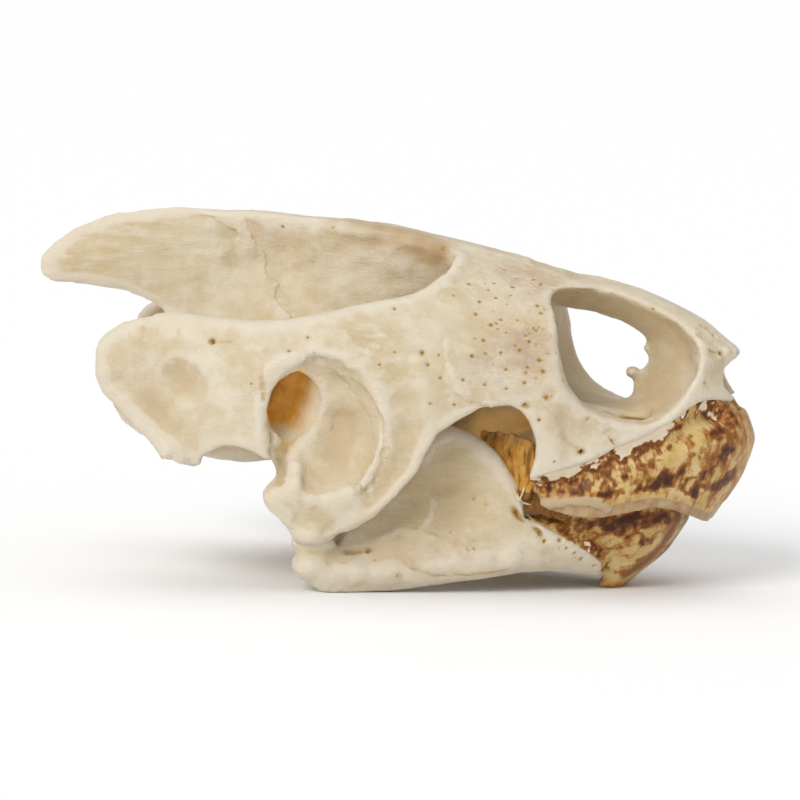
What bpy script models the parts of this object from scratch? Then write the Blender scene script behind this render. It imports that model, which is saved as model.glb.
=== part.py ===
"""Pond turtle skull with its lower jaw and the horn sheaths of both jaws, at rest on the lower jaw.

Blender frame: metres, +Z up, the snout towards +X, the animal's right side towards -Y.
The origin is on the surface it stands on, under the middle of the skull.
Shapes are drawn in millimetres and turned into metres when all pieces are done.
Positions are (x, y, z) on the left side, where y is positive, and the right side mirrors them.
"""

from math import cos, radians, sin, tan

import bmesh
import bpy
import numpy as np
from mathutils import Euler, Matrix, Vector

METRES_PER_MM = 0.001

# Driving sizes
SKULL_LENGTH = 60.0
CHEEK_WALL = 1.35
LIP_RADIUS = 0.66
HORN_WALL = 0.9
HORN_SHELF = 3.0
PIECE_GAP = 0.38
JOINT_GAP = 0.5
# The surface that it stands on, in the drawing: where it meets the chin in x, and how steeply it
# rises towards the back, in degrees
CHIN_CONTACT = 18.6
REST_TILT = 2.0

# Fineness of the bones, before and after their faces are thinned out
BONE_GRAIN = 0.27
CRANIUM_TRIANGLES = 5900
JAW_TRIANGLES = 1750
BEAK_STEPS = 22

BONE_COLOUR = (0.80, 0.72, 0.56)
JAW_COLOUR = (0.78, 0.69, 0.53)
HORN_COLOUR = (0.52, 0.33, 0.12)

# Half outlines (y, z) of the skull's outer skin at each x, from the middle of the roof to the cheek's edge
SKIN = {
    14.0: [(0, 26.4), (4.4, 25.9), (8.4, 23.6), (11.2, 19), (11.2, 13.5), (10.3, 9), (9.4, 4)],
    8.0: [(0, 27.8), (4.2, 27.3), (8.8, 24.8), (12.5, 20), (12.9, 15.5), (12.0, 10.5), (11.0, 4)],
    4.0: [(0, 28.9), (3.8, 28.4), (8.6, 26.2), (13.2, 21.5), (14.2, 16.5), (13.6, 11), (12.6, 4)],
    0.0: [(0, 29.9), (3.5, 29.4), (8.5, 26.8), (13.9, 22.3), (15.1, 17), (14.6, 11), (13.0, 4)],
    -4.0: [(0, 30.0), (3.0, 29.7), (8.5, 27.4), (14.6, 22.5), (15.8, 17), (15.2, 10.5), (13.2, 4)],
    -8.0: [(0, 30.3), (3.0, 30.0), (8.5, 27.4), (14.8, 22.6), (16.0, 17), (15.4, 10.5), (13.2, 4)],
    -12.0: [(0, 30.6), (3.0, 30.2), (8.5, 27.5), (14.6, 22.8), (15.8, 17.5), (14.8, 11), (12.6, 5)],
    -16.0: [(0, 30.6), (3.0, 30.2), (8.5, 27.6), (14.0, 23.2), (15.2, 18.5), (14.0, 12), (12.0, 6)],
    -20.0: [(0, 30.0), (3.0, 29.6), (7.5, 27.0), (12.8, 22.6), (13.8, 19), (12.6, 14), (10.8, 8)],
    -24.0: [(0, 29.0), (3.0, 28.4), (6.5, 26.0), (10.8, 21.5), (11.6, 19.5), (10.8, 16), (9.2, 10)],
}

# Side view (x, z) of what the skin keeps: roof, temporal bar, squamosal, quadrate and cheek
TEMPORAL_OUTLINE = [
    (15, 32), (4.6, 32), (4.6, 28.9), (4.8, 27.9), (4.3, 26.8), (2.1, 25.2), (-1.1, 24.6), (-5.1, 23.8),
    (-8, 23.3), (-10.8, 23.2), (-14.9, 23.5), (-17.2, 23.5), (-20.8, 23.0), (-23.2, 21.7), (-23.7, 19.8),
    (-23.2, 17.6), (-19.3, 14.2), (-16.6, 11.9), (-15.8, 11.1), (-14.9, 11.3), (-14, 12.4), (-12.9, 13.2),
    (-10.9, 12.8), (-9.1, 11.6), (-8.4, 10.4), (-9.2, 9.6), (-9.9, 8.7), (-7.8, 6.0), (-6.2, 4.9),
    (-3.7, 5.9), (-0.8, 7.6), (1.2, 9.6), (2.7, 11.4), (3.7, 13.7), (5.3, 14.9), (7.7, 16.1),
    (9.3, 16.3), (10.9, 15.8), (12.1, 12.9), (11.3, 9.7), (11.6, 7.0), (15, 7.0),
]

# Snout by height: z, reach of the tip, half width
SNOUT = [
    (5.0, 25.7, 8.7), (6.6, 27.1, 9.2), (7.6, 27.6, 9.6), (9.0, 28.6, 10.1), (10.6, 29.5, 10.5),
    (12.3, 29.9, 10.8), (13.4, 29.9, 11.0), (14.9, 29.2, 11.2), (16.6, 28.3, 11.4), (18.2, 27.8, 11.4),
    (19.4, 28.0, 11.2), (20.6, 27.4, 10.8), (22.0, 25.9, 9.9), (23.4, 23.5, 8.8), (24.6, 20.9, 7.6),
    (25.4, 18.4, 6.2), (25.9, 16.6, 4.6),
]
SNOUT_BACK = 12.0
SNOUT_ROUNDNESS = 1.25

# Orbit (x, z), from the rim at y = 9 to the window between the orbits at y = 0
ORBIT_RIM = [
    (13.8, 24.6), (13.8, 21.4), (14.3, 18.6), (15.0, 17.2), (16.2, 15.9), (18.2, 14.9), (20.4, 14.3),
    (22.4, 14.5), (24.2, 15.9), (25.7, 17.9), (26.4, 20.0), (26.0, 22.0), (24.0, 24.4), (20.8, 26.2),
    (17.4, 27.2), (15.2, 26.8), (14.2, 25.9),
]
ORBIT_INSIDE = [
    (12.1, 24.2), (12.1, 21.0), (12.4, 17.8), (14.0, 16.4), (17.0, 15.5), (20.0, 15.0), (22.4, 15.8),
    (24.0, 17.4), (24.9, 19.2), (24.8, 20.8), (23.5, 22.4), (21.3, 23.8), (19.2, 24.7), (16.8, 25.2),
    (14.8, 25.1), (13.2, 24.9),
]
ORBIT_WINDOW = [
    (11.4, 23.1), (11.4, 20.4), (11.8, 17.4), (13.6, 15.9), (15.8, 15.5), (18.5, 15.5), (20.1, 16.6),
    (20.9, 18.3), (21.0, 20.1), (19.8, 21.5), (17.1, 22.7), (14.6, 23.2), (12.8, 23.5),
]

# Braincase half outlines (y, z) at each x, from the roof's middle down to the base's middle
BRAINCASE = {
    11.0: [(0, 27.4), (2.6, 26.8), (2.4, 22), (2.2, 17), (2.6, 13.5), (0, 13.0)],
    6.0: [(0, 28.6), (3.4, 28.0), (2.6, 24), (2.6, 18), (3.6, 13.5), (0, 12.6)],
    1.0: [(0, 29.8), (3.2, 29.2), (2.6, 25.5), (3.2, 20), (5.0, 15), (0, 11.6)],
    -4.0: [(0, 30.5), (2.5, 30.1), (1.9, 26.5), (4.4, 21.5), (8.0, 16.5), (0, 11.2)],
    -9.0: [(0, 31.0), (1.7, 30.6), (1.2, 27), (4.8, 22.0), (9.0, 16.5), (0, 11.5)],
    -13.0: [(0, 31.3), (1.3, 31.0), (0.9, 27.5), (2.8, 22.5), (6.2, 17.5), (0, 12.3)],
    -16.5: [(0, 31.4), (1.0, 31.1), (0.8, 27.5), (1.4, 22.0), (3.4, 18.5), (0, 14.0)],
}

# Crest: x, lower edge, upper edge, half thickness
CREST = [
    (-30.5, 25.9, 27.2, 0.45), (-29.4, 25.1, 28.3, 0.60), (-27.4, 24.9, 29.7, 0.65),
    (-25.3, 24.7, 30.7, 0.70), (-22.8, 24.2, 31.2, 0.75), (-21.0, 23.5, 31.4, 0.80),
    (-19.6, 22.4, 31.5, 0.85), (-18.6, 20.5, 31.6, 0.90), (-16.0, 18.0, 31.4, 1.00),
    (-12.0, 18.0, 31.2, 1.10),
]

# Squamosal: x, middle (y, z), half width, half height
SQUAMOSAL = [
    (-8.0, 13.4, 17.8, 2.2, 5.2), (-13.0, 13.0, 18.3, 2.5, 4.8), (-16.0, 12.4, 17.7, 2.6, 5.4),
    (-19.5, 11.6, 18.8, 2.1, 3.9), (-22.0, 11.0, 19.4, 1.4, 2.2), (-22.9, 10.9, 19.6, 0.6, 0.9),
]

# Bar from the braincase to the squamosal: x, middle (y, z), half width, half height
PAROCCIPITAL = [
    (-6.0, 8.6, 16.0, 4.2, 4.2), (-12.0, 8.4, 15.8, 4.2, 4.8), (-16.0, 9.6, 16.2, 2.8, 4.5),
    (-19.0, 10.3, 17.0, 1.9, 4.2), (-21.6, 10.7, 17.5, 1.2, 3.3), (-22.9, 10.8, 17.6, 0.5, 1.6),
]

# Quadrate by height: z, middle (x, y), half length, half width
QUADRATE = [
    (4.9, -6.1, 12.0, 1.4, 2.0), (5.8, -5.9, 12.1, 2.1, 2.4), (8.0, -5.2, 12.3, 3.8, 2.2),
    (10.5, -4.4, 12.6, 4.6, 2.2), (14.0, -4.4, 12.6, 5.2, 2.6),
]

# Palate: x, half width, lower side, upper side
PALATE = [
    (15.0, 9.0, 11.6, 14.6), (9.0, 7.2, 11.2, 13.2), (4.0, 5.4, 11.0, 12.8), (-1.0, 6.0, 10.9, 12.8),
    (-5.0, 7.5, 10.9, 13.6), (-11.0, 6.0, 11.6, 14.5), (-15.0, 2.6, 13.2, 16.5),
]

# Edges of the upper sheath in side view (x, z): where it meets the bone, and where it bites
UPPER_RIM = [
    (10.6, 8.9), (11.4, 9.5), (12.6, 10.1), (14.7, 10.5), (17.1, 11.3), (18.5, 12.3), (20.4, 12.8),
    (22.4, 13.7), (24.0, 14.5), (24.9, 15.4), (26.3, 15.8), (28.9, 15.3),
]
UPPER_BITE = [
    (10.6, 8.4), (12.6, 7.5), (15.1, 6.8), (17.2, 6.6), (20.4, 7.2), (22.1, 7.3), (23.7, 6.8),
    (24.9, 6.2), (26.0, 5.5), (26.9, 6.1), (27.4, 6.4),
]

# Lower jaw along one side: x, y of its outer face, underside, half thickness below, height of the
# ridge along its outer face, top, depth of the hollow above the ridge, thickness of the plate there
JAW = [
    (-8.0, 11.7, 2.4, 0.70, 3.1, 3.9, 0.0, 1.2), (-7.0, 12.7, 1.4, 1.20, 2.7, 4.4, 0.2, 2.4),
    (-5.2, 13.2, 0.6, 1.50, 2.6, 4.8, 0.6, 2.6), (-3.0, 12.6, 0.4, 1.60, 2.9, 6.8, 2.0, 1.4),
    (-1.0, 12.0, 0.5, 1.65, 2.7, 9.4, 1.9, 1.25), (1.5, 11.2, 0.7, 1.65, 2.3, 12.6, 1.5, 1.25),
    (3.2, 10.7, 0.9, 1.60, 2.1, 14.3, 1.2, 1.25), (5.0, 10.1, 1.1, 1.55, 2.1, 14.5, 1.0, 1.25),
    (7.3, 9.5, 1.4, 1.55, 2.3, 13.6, 0.8, 1.25), (9.3, 9.0, 1.6, 1.60, 2.8, 11.8, 0.6, 1.4),
    (11.0, 8.5, 1.8, 1.80, 3.9, 9.2, 0.3, 1.8), (13.5, 7.6, 1.8, 2.10, 4.2, 7.2, -0.1, 2.4),
    (16.5, 6.3, 1.4, 2.40, 3.8, 6.8, -0.2, 3.0), (19.6, 4.4, 0.8, 2.80, 3.6, 6.6, -0.4, 3.6),
    (21.8, 2.2, 0.6, 3.00, 3.6, 6.6, -0.8, 4.0), (22.4, 0.0, 0.6, 3.00, 3.6, 6.6, -0.8, 4.0),
]

# Lower sheath by height: z, reach of the tip, half width
CHIN = [
    (0.0, 18.9, 6.0), (0.8, 20.2, 6.9), (1.7, 21.2, 7.6), (3.8, 23.4, 8.2), (5.4, 24.2, 8.2),
    (7.0, 24.6, 8.0), (8.0, 24.7, 7.9),
]
CHIN_BACK = 8.0
# Lower edge of the lower sheath: angle from the chin's middle, height
LOWER_BACK_EDGE = [
    (0, 0.0), (24, 0.0), (31, 0.7), (37, 1.6), (41, 2.8), (48, 3.6), (55, 4.4), (64, 5.5), (72, 6.6),
]
LOWER_BITE_HEIGHT = 7.35
SHELF_HEIGHT = 9.1


def clear_scene():
    for thing in list(bpy.data.objects):
        bpy.data.objects.remove(thing)


def smooth_line(points, steps=5, closed=False):
    """A Catmull-Rom curve through the points, which can be whole rings: then rings come back."""
    points = np.array(points, float)
    if closed:
        padded = np.concatenate([points[-1:], points, points[:2]])
    else:
        padded = np.concatenate([2 * points[:1] - points[1:2], points, 2 * points[-1:] - points[-2:-1]])
    line = []
    for before, start, end, after in zip(padded, padded[1:], padded[2:], padded[3:]):
        bend = 2 * before - 5 * start + 4 * end - after
        twist = 3 * start - before - 3 * end + after
        for t in np.arange(steps) / steps:
            line.append(start + 0.5 * ((end - before) * t + bend * t ** 2 + twist * t ** 3))
    if not closed:
        line.append(points[-1])
    return np.array(line)


def evenly(line, count, closed=False):
    """The given number of points, equally far apart along the line."""
    if closed:
        line = np.concatenate([line, line[:1]])
    lengths = np.linalg.norm(np.diff(line, axis=0), axis=1)
    along = np.concatenate([[0.0], np.cumsum(lengths)])
    wanted = np.linspace(0.0, along[-1], count, endpoint=not closed)
    return np.stack([np.interp(wanted, along, values) for values in line.T], axis=1)


def body(name, vertices, faces):
    """A mesh object whose faces point outwards."""
    mesh = bpy.data.meshes.new(name)
    mesh.from_pydata([tuple(vertex) for vertex in vertices], [], faces)
    shape = bmesh.new()
    shape.from_mesh(mesh)
    bmesh.ops.recalc_face_normals(shape, faces=shape.faces)
    shape.to_mesh(mesh)
    shape.free()
    thing = bpy.data.objects.new(name, mesh)
    bpy.context.collection.objects.link(thing)
    return thing


def loft(rings, name="loft"):
    """A closed body through rings with equal numbers of points, with flat ends."""
    rings = np.array(rings, float)
    count, around = rings.shape[:2]
    last = (count - 1) * around
    faces = [list(range(around)), list(range(last, last + around))]
    for i in range(count - 1):
        for j in range(around):
            near, far = i * around, (i + 1) * around
            following = (j + 1) % around
            faces.append([near + j, near + following, far + following, far + j])
    return body(name, rings.reshape(-1, 3), faces)


def slab(outline, reach, steps=4):
    """A side-view outline (x, z) drawn smooth and extruded between two values of y."""
    line = smooth_line(outline, steps, closed=True)
    return loft([[(x, y, z) for x, z in line] for y in reach])


def ellipsoid(middle, radii, tilt=(0, 0, 0)):
    turned = Euler([radians(angle) for angle in tilt]).to_matrix().to_4x4()
    placed = Matrix.Translation(middle) @ turned @ Matrix.Diagonal((*radii, 1.0))
    shape = bmesh.new()
    bmesh.ops.create_icosphere(shape, subdivisions=4, radius=1.0, matrix=placed)
    mesh = bpy.data.meshes.new("ellipsoid")
    shape.to_mesh(mesh)
    shape.free()
    thing = bpy.data.objects.new("ellipsoid", mesh)
    bpy.context.collection.objects.link(thing)
    return thing


def tube(path, radii, sides=12):
    """A round body along a smooth path, with a radius at each point of the path."""
    centres = smooth_line(path, 4)
    widths = smooth_line(np.array(radii, float).reshape(-1, 1), 4)[:, 0].tolist()
    rings = []
    for place, centre in enumerate(centres):
        ahead = centres[min(place + 1, len(centres) - 1)]
        behind = centres[max(place - 1, 0)]
        along = Vector(ahead - behind).normalized()
        across = along.orthogonal().normalized()
        if along.x < -0.9 or along.x > 0.9:
            across = along.cross(Vector((0, 0, 1))).normalized()
        upward = along.cross(across)
        turns = [2 * np.pi * side / sides for side in range(sides)]
        ring = [Vector(centre) + widths[place] * (cos(turn) * across + sin(turn) * upward) for turn in turns]
        rings.append(ring)
    return loft(rings)


def join(parts, name="joined"):
    """One object that holds the meshes of all parts, which are used up."""
    shape = bmesh.new()
    for part in parts:
        shape.from_mesh(part.data)
        bpy.data.objects.remove(part)
    mesh = bpy.data.meshes.new(name)
    shape.to_mesh(mesh)
    shape.free()
    thing = bpy.data.objects.new(name, mesh)
    bpy.context.collection.objects.link(thing)
    return thing


def both_sides(parts):
    """The parts and their mirror images across y = 0."""
    pairs = list(parts)
    for part in parts:
        mesh = part.data.copy()
        mesh.transform(Matrix.Diagonal((1, -1, 1, 1)))
        mesh.flip_normals()
        twin = bpy.data.objects.new(part.name, mesh)
        bpy.context.collection.objects.link(twin)
        pairs.append(twin)
    return pairs


def settle(thing):
    """Makes the result of the modifiers the object's own mesh."""
    bpy.context.view_layer.update()
    graph = bpy.context.evaluated_depsgraph_get()
    mesh = bpy.data.meshes.new_from_object(thing.evaluated_get(graph))
    thing.modifiers.clear()
    thing.data = mesh
    return thing


def fuse(parts, grain=BONE_GRAIN):
    """One skin around all parts, as small squares of the given size."""
    whole = join(parts)
    remesh = whole.modifiers.new("skin", "REMESH")
    remesh.mode = "VOXEL"
    remesh.voxel_size = grain
    return settle(whole)


def combine(thing, tool, operation="DIFFERENCE"):
    """Cuts the tool off the object, or keeps only what is inside it. The tool is used up."""
    cut = thing.modifiers.new("cut", "BOOLEAN")
    cut.operation = operation
    cut.solver = "EXACT"
    cut.object = tool
    settle(thing)
    bpy.data.objects.remove(tool)
    return thing


def relax(thing, rounds=7):
    """Evens out the small steps of a skin. Each later round smooths it and lets it swell back."""
    for factor in (0.5, 0.5, *(0.6, -0.62) * rounds):
        smooth = thing.modifiers.new("relax", "SMOOTH")
        smooth.factor = factor
        smooth.iterations = 2
    return settle(thing)


def thin_out(thing, triangles):
    """Keeps about the given number of triangles, the same on both sides of y = 0."""
    thing.data.calc_loop_triangles()
    fewer = thing.modifiers.new("fewer", "DECIMATE")
    fewer.ratio = triangles / len(thing.data.loop_triangles)
    fewer.use_collapse_triangulate = True
    fewer.use_symmetry = True
    fewer.symmetry_axis = "Y"
    return settle(thing)


def mirrored_ring(half, x):
    """A ring at x from the points (y, z) of its left half, which starts and ends at y = 0."""
    right = [(-y, z) for y, z in half[-2:0:-1]]
    return [(x, y, z) for y, z in [*half, *right]]


def along_x(table):
    """The places of a table in order from the back, so that a body can be drawn through them."""
    return sorted(table.items())


def skin_plate():
    """The thin roof and cheeks, trimmed to their outline in side view."""
    rings = []
    for x, half in along_x(SKIN):
        outer = evenly(smooth_line(half), 22)
        steps = np.gradient(outer, axis=0)
        inward = np.stack([steps[:, 1], -steps[:, 0]], axis=1)
        inward /= np.linalg.norm(inward, axis=1)[:, None]
        inner = outer + CHEEK_WALL * inward
        inner[0] = (0.0, outer[0, 1] - CHEEK_WALL)
        arch = [(-y, z) for y, z in outer[:0:-1]] + [tuple(point) for point in outer]
        under = [tuple(point) for point in inner[::-1]] + [(-y, z) for y, z in inner[1:]]
        rings.append([(x, y, z) for y, z in arch + under])
    plate = loft(smooth_line(rings, 4))
    return combine(plate, slab(TEMPORAL_OUTLINE, (-20, 20)), "INTERSECT")


def skin_side(x, z):
    """How far out, in y, the skin lies at a place in side view."""
    stations = along_x(SKIN)
    widths = []
    for _, half in stations:
        line = smooth_line(half)
        widths.append(np.interp(-z, -line[:, 1], line[:, 0]))
    return float(np.interp(x, [x for x, _ in stations], widths))


def skin_lip():
    """The rounded edge of the left temporal bar, squamosal, quadrate and cheek, within their outline."""
    edge = smooth_line(TEMPORAL_OUTLINE[3:-2], 2)
    forward = np.gradient(edge, axis=0)
    inward = np.stack([-forward[:, 1], forward[:, 0]], axis=1)
    inward /= np.linalg.norm(inward, axis=1)[:, None]
    middle = edge + LIP_RADIUS * inward
    return tube([(x, skin_side(x, z) - LIP_RADIUS, z) for x, z in middle], [LIP_RADIUS] * len(middle))


def snout_plan(tip, half_width, turn, back=SNOUT_BACK):
    """A point of the snout's rounded plan at an angle from the tip, and straight back past 90 degrees."""
    if turn > 90:
        return back - (turn - 90) / 10, half_width
    reach = max(cos(radians(turn)), 0.0) ** SNOUT_ROUNDNESS
    return back + (tip - back) * reach, half_width * sin(radians(turn))


def snout_core():
    """The full volume of the snout, before the orbits, nose and palate are cut into it."""
    rings = []
    for z, tip, half_width in smooth_line(SNOUT[1:], 3):
        left = [snout_plan(tip, half_width, turn) for turn in np.linspace(0, 90, 24)]
        plan = left + [(x, -y) for x, y in left[:0:-1]]
        rings.append([(x, y, z) for x, y in plan])
    return loft(rings)


def braincase():
    rings = []
    for x, half in along_x(BRAINCASE):
        line = evenly(smooth_line(half), 20)
        line[0, 0] = line[-1, 0] = 0.0
        rings.append(mirrored_ring([tuple(point) for point in line], x))
    return loft(smooth_line(rings, 4))


def flat_oval(x, low, high, half_thickness, sides=20):
    """An upright oval ring at x, flatter along its sides than an ellipse."""
    ring = []
    for side in range(sides):
        turn = 2 * np.pi * side / sides
        y = half_thickness * np.sign(cos(turn)) * abs(cos(turn)) ** 0.6
        z = (low + high) / 2 + (high - low) / 2 * np.sign(sin(turn)) * abs(sin(turn)) ** 0.8
        ring.append((x, y, z))
    return ring


def crest():
    return loft([flat_oval(*row) for row in smooth_line(CREST, 4)])


def oval_rings(rows, flat):
    """Rings of a lofted table: flat says whether the rings lie level or stand across x."""
    rings = []
    for place, first, second, half_first, half_second in smooth_line(rows, 4):
        ring = []
        for side in range(20):
            turn = 2 * np.pi * side / 20
            a = first + half_first * cos(turn)
            b = second + half_second * sin(turn)
            ring.append((a, b, place) if flat else (place, a, b))
        rings.append(ring)
    return rings


def palate():
    rings = []
    for x, half_width, low, high in smooth_line(PALATE, 4):
        middle = (low + high) / 2
        half = [(0, high), (half_width * 0.7, high), (half_width, middle), (half_width * 0.7, low), (0, low)]
        rings.append(mirrored_ring(half, x))
    return loft(rings)


def temporal_parts():
    """What lies behind the cheek on the left side: squamosal, quadrate, ear block and their bars."""
    return [
        skin_lip(),
        loft(oval_rings(SQUAMOSAL, flat=False)),
        loft(oval_rings(QUADRATE, flat=True)),
        loft(oval_rings(PAROCCIPITAL, flat=False)),
        ellipsoid((-4.7, 11.6, 14.8), (5.4, 3.8, 6.8)),
        ellipsoid((-5.5, 8.5, 17.0), (6.0, 4.5, 4.2)),
        ellipsoid((-8.6, 13.2, 8.8), (1.5, 1.7, 1.5)),
        tube([(-23.0, 11.2, 18.2), (-19.4, 13.0, 15.2), (-16.0, 13.9, 12.0)], [0.6, 0.9, 0.9]),
        tube([(2.0, 5.0, 12.0), (-2.0, 7.6, 11.2), (-5.5, 10.8, 9.5)], [1.0, 1.3, 1.9]),
        tube([(13.5, 9.6, 11.0), (12.8, 8.0, 13.0), (12.5, 5.0, 13.2)], [1.6, 1.2, 1.0]),
    ]


def ear_cutters():
    """The funnel of the ear, the deep hole in it and the notch below it, on the left side."""
    return [
        ellipsoid((-4.7, 16.9, 14.5), (5.1, 4.0, 6.6)),
        ellipsoid((-7.7, 12.6, 16.4), (2.1, 4.6, 2.9), (0, 12, 0)),
        tube([(-9.8, 14.6, 9.9), (-8.8, 14.0, 11.6), (-7.9, 13.4, 13.6)], [1.0, 0.9, 0.9]),
        ellipsoid((-18.0, 19.0, 18.8), (5.6, 4.6, 4.0), (0, 20, -16)),
        ellipsoid((-12.6, 13.2, 11.4), (2.6, 2.2, 1.7), (0, 10, 0)),
    ]


def orbit_cutter():
    """Opens the left orbit to the side and, through the middle, to the right one."""
    rim = evenly(smooth_line(ORBIT_RIM, closed=True), 48, closed=True)
    inside = evenly(smooth_line(ORBIT_INSIDE, closed=True), 48, closed=True)
    window = evenly(smooth_line(ORBIT_WINDOW, closed=True), 48, closed=True)
    flared = rim.mean(axis=0) + (rim - rim.mean(axis=0)) * 1.12
    slices = [(window, -0.6), (window, 0.6), (inside, 4.2), ((inside + rim) / 2, 7.0), (rim, 9.4), (flared, 16.0)]
    return loft([[(x, y, z) for x, z in outline] for outline, y in slices])


def head_cutters():
    """Nose, roof of the mouth, inner nostrils and the hole for the spinal cord."""
    return [
        ellipsoid((29.8, 0, 17.6), (6.4, 3.3, 2.0)),
        ellipsoid((14.0, 0, 5.6), (12.2, 7.4, 6.6)),
        ellipsoid((-18.5, 0, 18.9), (7.0, 2.1, 2.2)),
    ]


def side_cutters():
    """Holes in the floor of the left orbit and in the palate."""
    return [
        ellipsoid((19.2, 5.4, 13.8), (2.0, 1.3, 3.2)),
        ellipsoid((10.2, 3.0, 11.2), (3.0, 1.3, 1.6)),
    ]


def sheath_place(rows, back, turn, z, inset):
    """A point of a sheath at an angle from the tip, a height and a depth below its outer face."""
    table = np.array(rows)
    tip = np.interp(z, table[:, 0], table[:, 1]) - inset
    half_width = np.interp(z, table[:, 0], table[:, 2]) - inset
    x, y = snout_plan(tip, half_width, abs(turn), back)
    return x, y if turn > 0 else -y, z


def height_at(edge, rows, back, turn):
    """Height of an edge, given in side view, on the outer face at an angle from the tip."""
    xs, zs = np.array(edge).T
    z = zs.mean()
    for _ in range(12):
        x = sheath_place(rows, back, turn, z, 0.0)[0]
        z = 0.5 * z + 0.5 * np.interp(x, xs, zs)
    return z


def upper_profile(turn, grow=0.0):
    """Cross section (inset, z) of the upper sheath, or with grow of the room that it needs."""
    rim = height_at(UPPER_RIM, SNOUT, SNOUT_BACK, turn)
    bite = height_at(UPPER_BITE, SNOUT, SNOUT_BACK, turn)
    shelf = min(SHELF_HEIGHT, 0.5 * (bite + rim))
    if grow:
        wall = HORN_WALL + grow
        top, ledge, reach = rim + grow, shelf + grow, HORN_SHELF + grow
        return [(-3, bite - 4), (-3, top), (wall, top), (wall, ledge), (reach, ledge), (reach, bite - 4)]
    thick = min(HORN_WALL, 0.45 * (rim - bite) + 0.3)
    under = max(shelf - HORN_WALL, 0.5 * (shelf + bite))
    return [
        (0.0, bite), (0.0, 0.65 * bite + 0.35 * rim), (0.0, 0.3 * bite + 0.7 * rim), (0.12, rim - 0.15),
        (0.4, rim), (thick, rim - 0.35), (thick, 0.4 * shelf + 0.6 * rim), (thick + 0.1, shelf),
        (HORN_SHELF, shelf), (HORN_SHELF, under), (thick + 0.2, under - 0.1), (0.6, bite + 0.1),
    ]


def lower_profile(turn, grow=0.0):
    """Cross section (inset, z) of the lower sheath, or with grow of the room that it needs."""
    angles, heights = np.array(LOWER_BACK_EDGE).T
    low = np.interp(abs(turn), angles, heights)
    top = LOWER_BITE_HEIGHT
    inner = top - min(1.6, 0.6 * (top - low))
    wrap = HORN_WALL + 0.9 * np.interp(abs(turn), (18, 34), (1, 0))
    if grow:
        wall, floor = HORN_WALL + grow, low - grow
        below = floor - np.interp(low, (0.0, 0.6), (3.0, 0.0))
        under = max(0.7 + grow, floor + 0.05) if low < 0.6 else floor + 0.05
        return [
            (-3, below), (-3, top + 2), (3.2, top + 2), (2.6 + grow, inner - 0.1 - grow), (wall, inner - grow),
            (wall, under), (wrap + grow, under - 0.02), (wrap + grow, below),
        ]
    return [
        (0.0, low), (0.0, 0.6 * low + 0.4 * top), (0.0, 0.25 * low + 0.75 * top), (0.15, top - 0.1),
        (0.5, top), (2.2, top - 0.5), (2.6, inner + 0.1), (HORN_WALL, inner),
        (HORN_WALL, min(low + 0.7, 0.5 * (low + inner))), (wrap, low + 0.001),
    ]


def sheath(name, profile, rows, back, last_turn, grow=0.0):
    """A horn sheath swept around the jaw, or with grow the cutter that makes room for it."""
    rings = []
    for turn in np.linspace(-last_turn, last_turn, 2 * BEAK_STEPS + 1):
        section = profile(turn, grow)
        rings.append([sheath_place(rows, back, turn, z, inset) for inset, z in section])
    return loft(rings, name)


def jaw_section(low, radius, ridge, top, lean, plate):
    """Cross section (inset, z) of the lower jaw: a thick lower edge and a thin plate above it."""
    groove = ridge + 0.3 * (top - ridge)
    shoulder = min(low + 2 * radius, 0.5 * (low + top) + 0.4)
    middle = 0.5 * (max(groove, shoulder) + top)
    edge = min(0.7, 0.3 * (top - shoulder) + 0.1)
    corners = [
        (radius, low), (0.35 * radius, low + 0.35 * (ridge - low)), (0.0, ridge), (0.7 * lean, groove),
        (lean, middle), (lean, top - edge), (lean + 0.5 * plate, top), (lean + plate, top - edge),
        (lean + plate, middle), (max(2 * radius - 0.5, lean + plate), shoulder), (2 * radius, low + radius),
        (1.65 * radius, low + 0.35 * radius),
    ]
    return evenly(smooth_line(corners, closed=True), 36, closed=True)


def jaw_sweep():
    """The jaw as one horseshoe: sections swept from the left joint around the chin to the right."""
    rows = smooth_line(JAW, 4)
    mirrored = rows[:-1] * np.array([1, -1, 1, 1, 1, 1, 1, 1])
    rows = np.concatenate([rows, mirrored[::-1]])
    forward = np.gradient(rows[:, :2], axis=0)
    inward = np.stack([forward[:, 1], -forward[:, 0]], axis=1)
    inward /= np.linalg.norm(inward, axis=1)[:, None]
    rings = []
    for row, direction in zip(rows, inward):
        section = jaw_section(*row[2:])
        rings.append([(*(row[:2] + inset * direction), z) for inset, z in section])
    return loft(rings)


def build_cranium():
    nose_tip = ellipsoid((27.0, 0, 20.0), (1.75, 3.4, 0.75), (0, 26, 0))
    neck_knob = ellipsoid((-16.6, 0, 15.2), (1.9, 1.7, 1.7))
    parts = [skin_plate(), snout_core(), braincase(), crest(), palate(), nose_tip, neck_knob]
    cranium = fuse(parts + both_sides(temporal_parts()))
    cutters = fuse(both_sides([orbit_cutter(), *side_cutters(), *ear_cutters()]) + head_cutters())
    combine(cranium, cutters)
    combine(cranium, sheath("room", upper_profile, SNOUT, SNOUT_BACK, 106, PIECE_GAP))
    cranium = fuse([cranium])
    relax(cranium)
    return thin_out(cranium, CRANIUM_TRIANGLES)


def joint_room():
    """What the quadrates need free in the lower jaw."""
    rows = [(z - JOINT_GAP, x, y, a + JOINT_GAP, b + JOINT_GAP) for z, x, y, a, b in QUADRATE]
    return both_sides([loft(oval_rings(rows, flat=True))])


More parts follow.
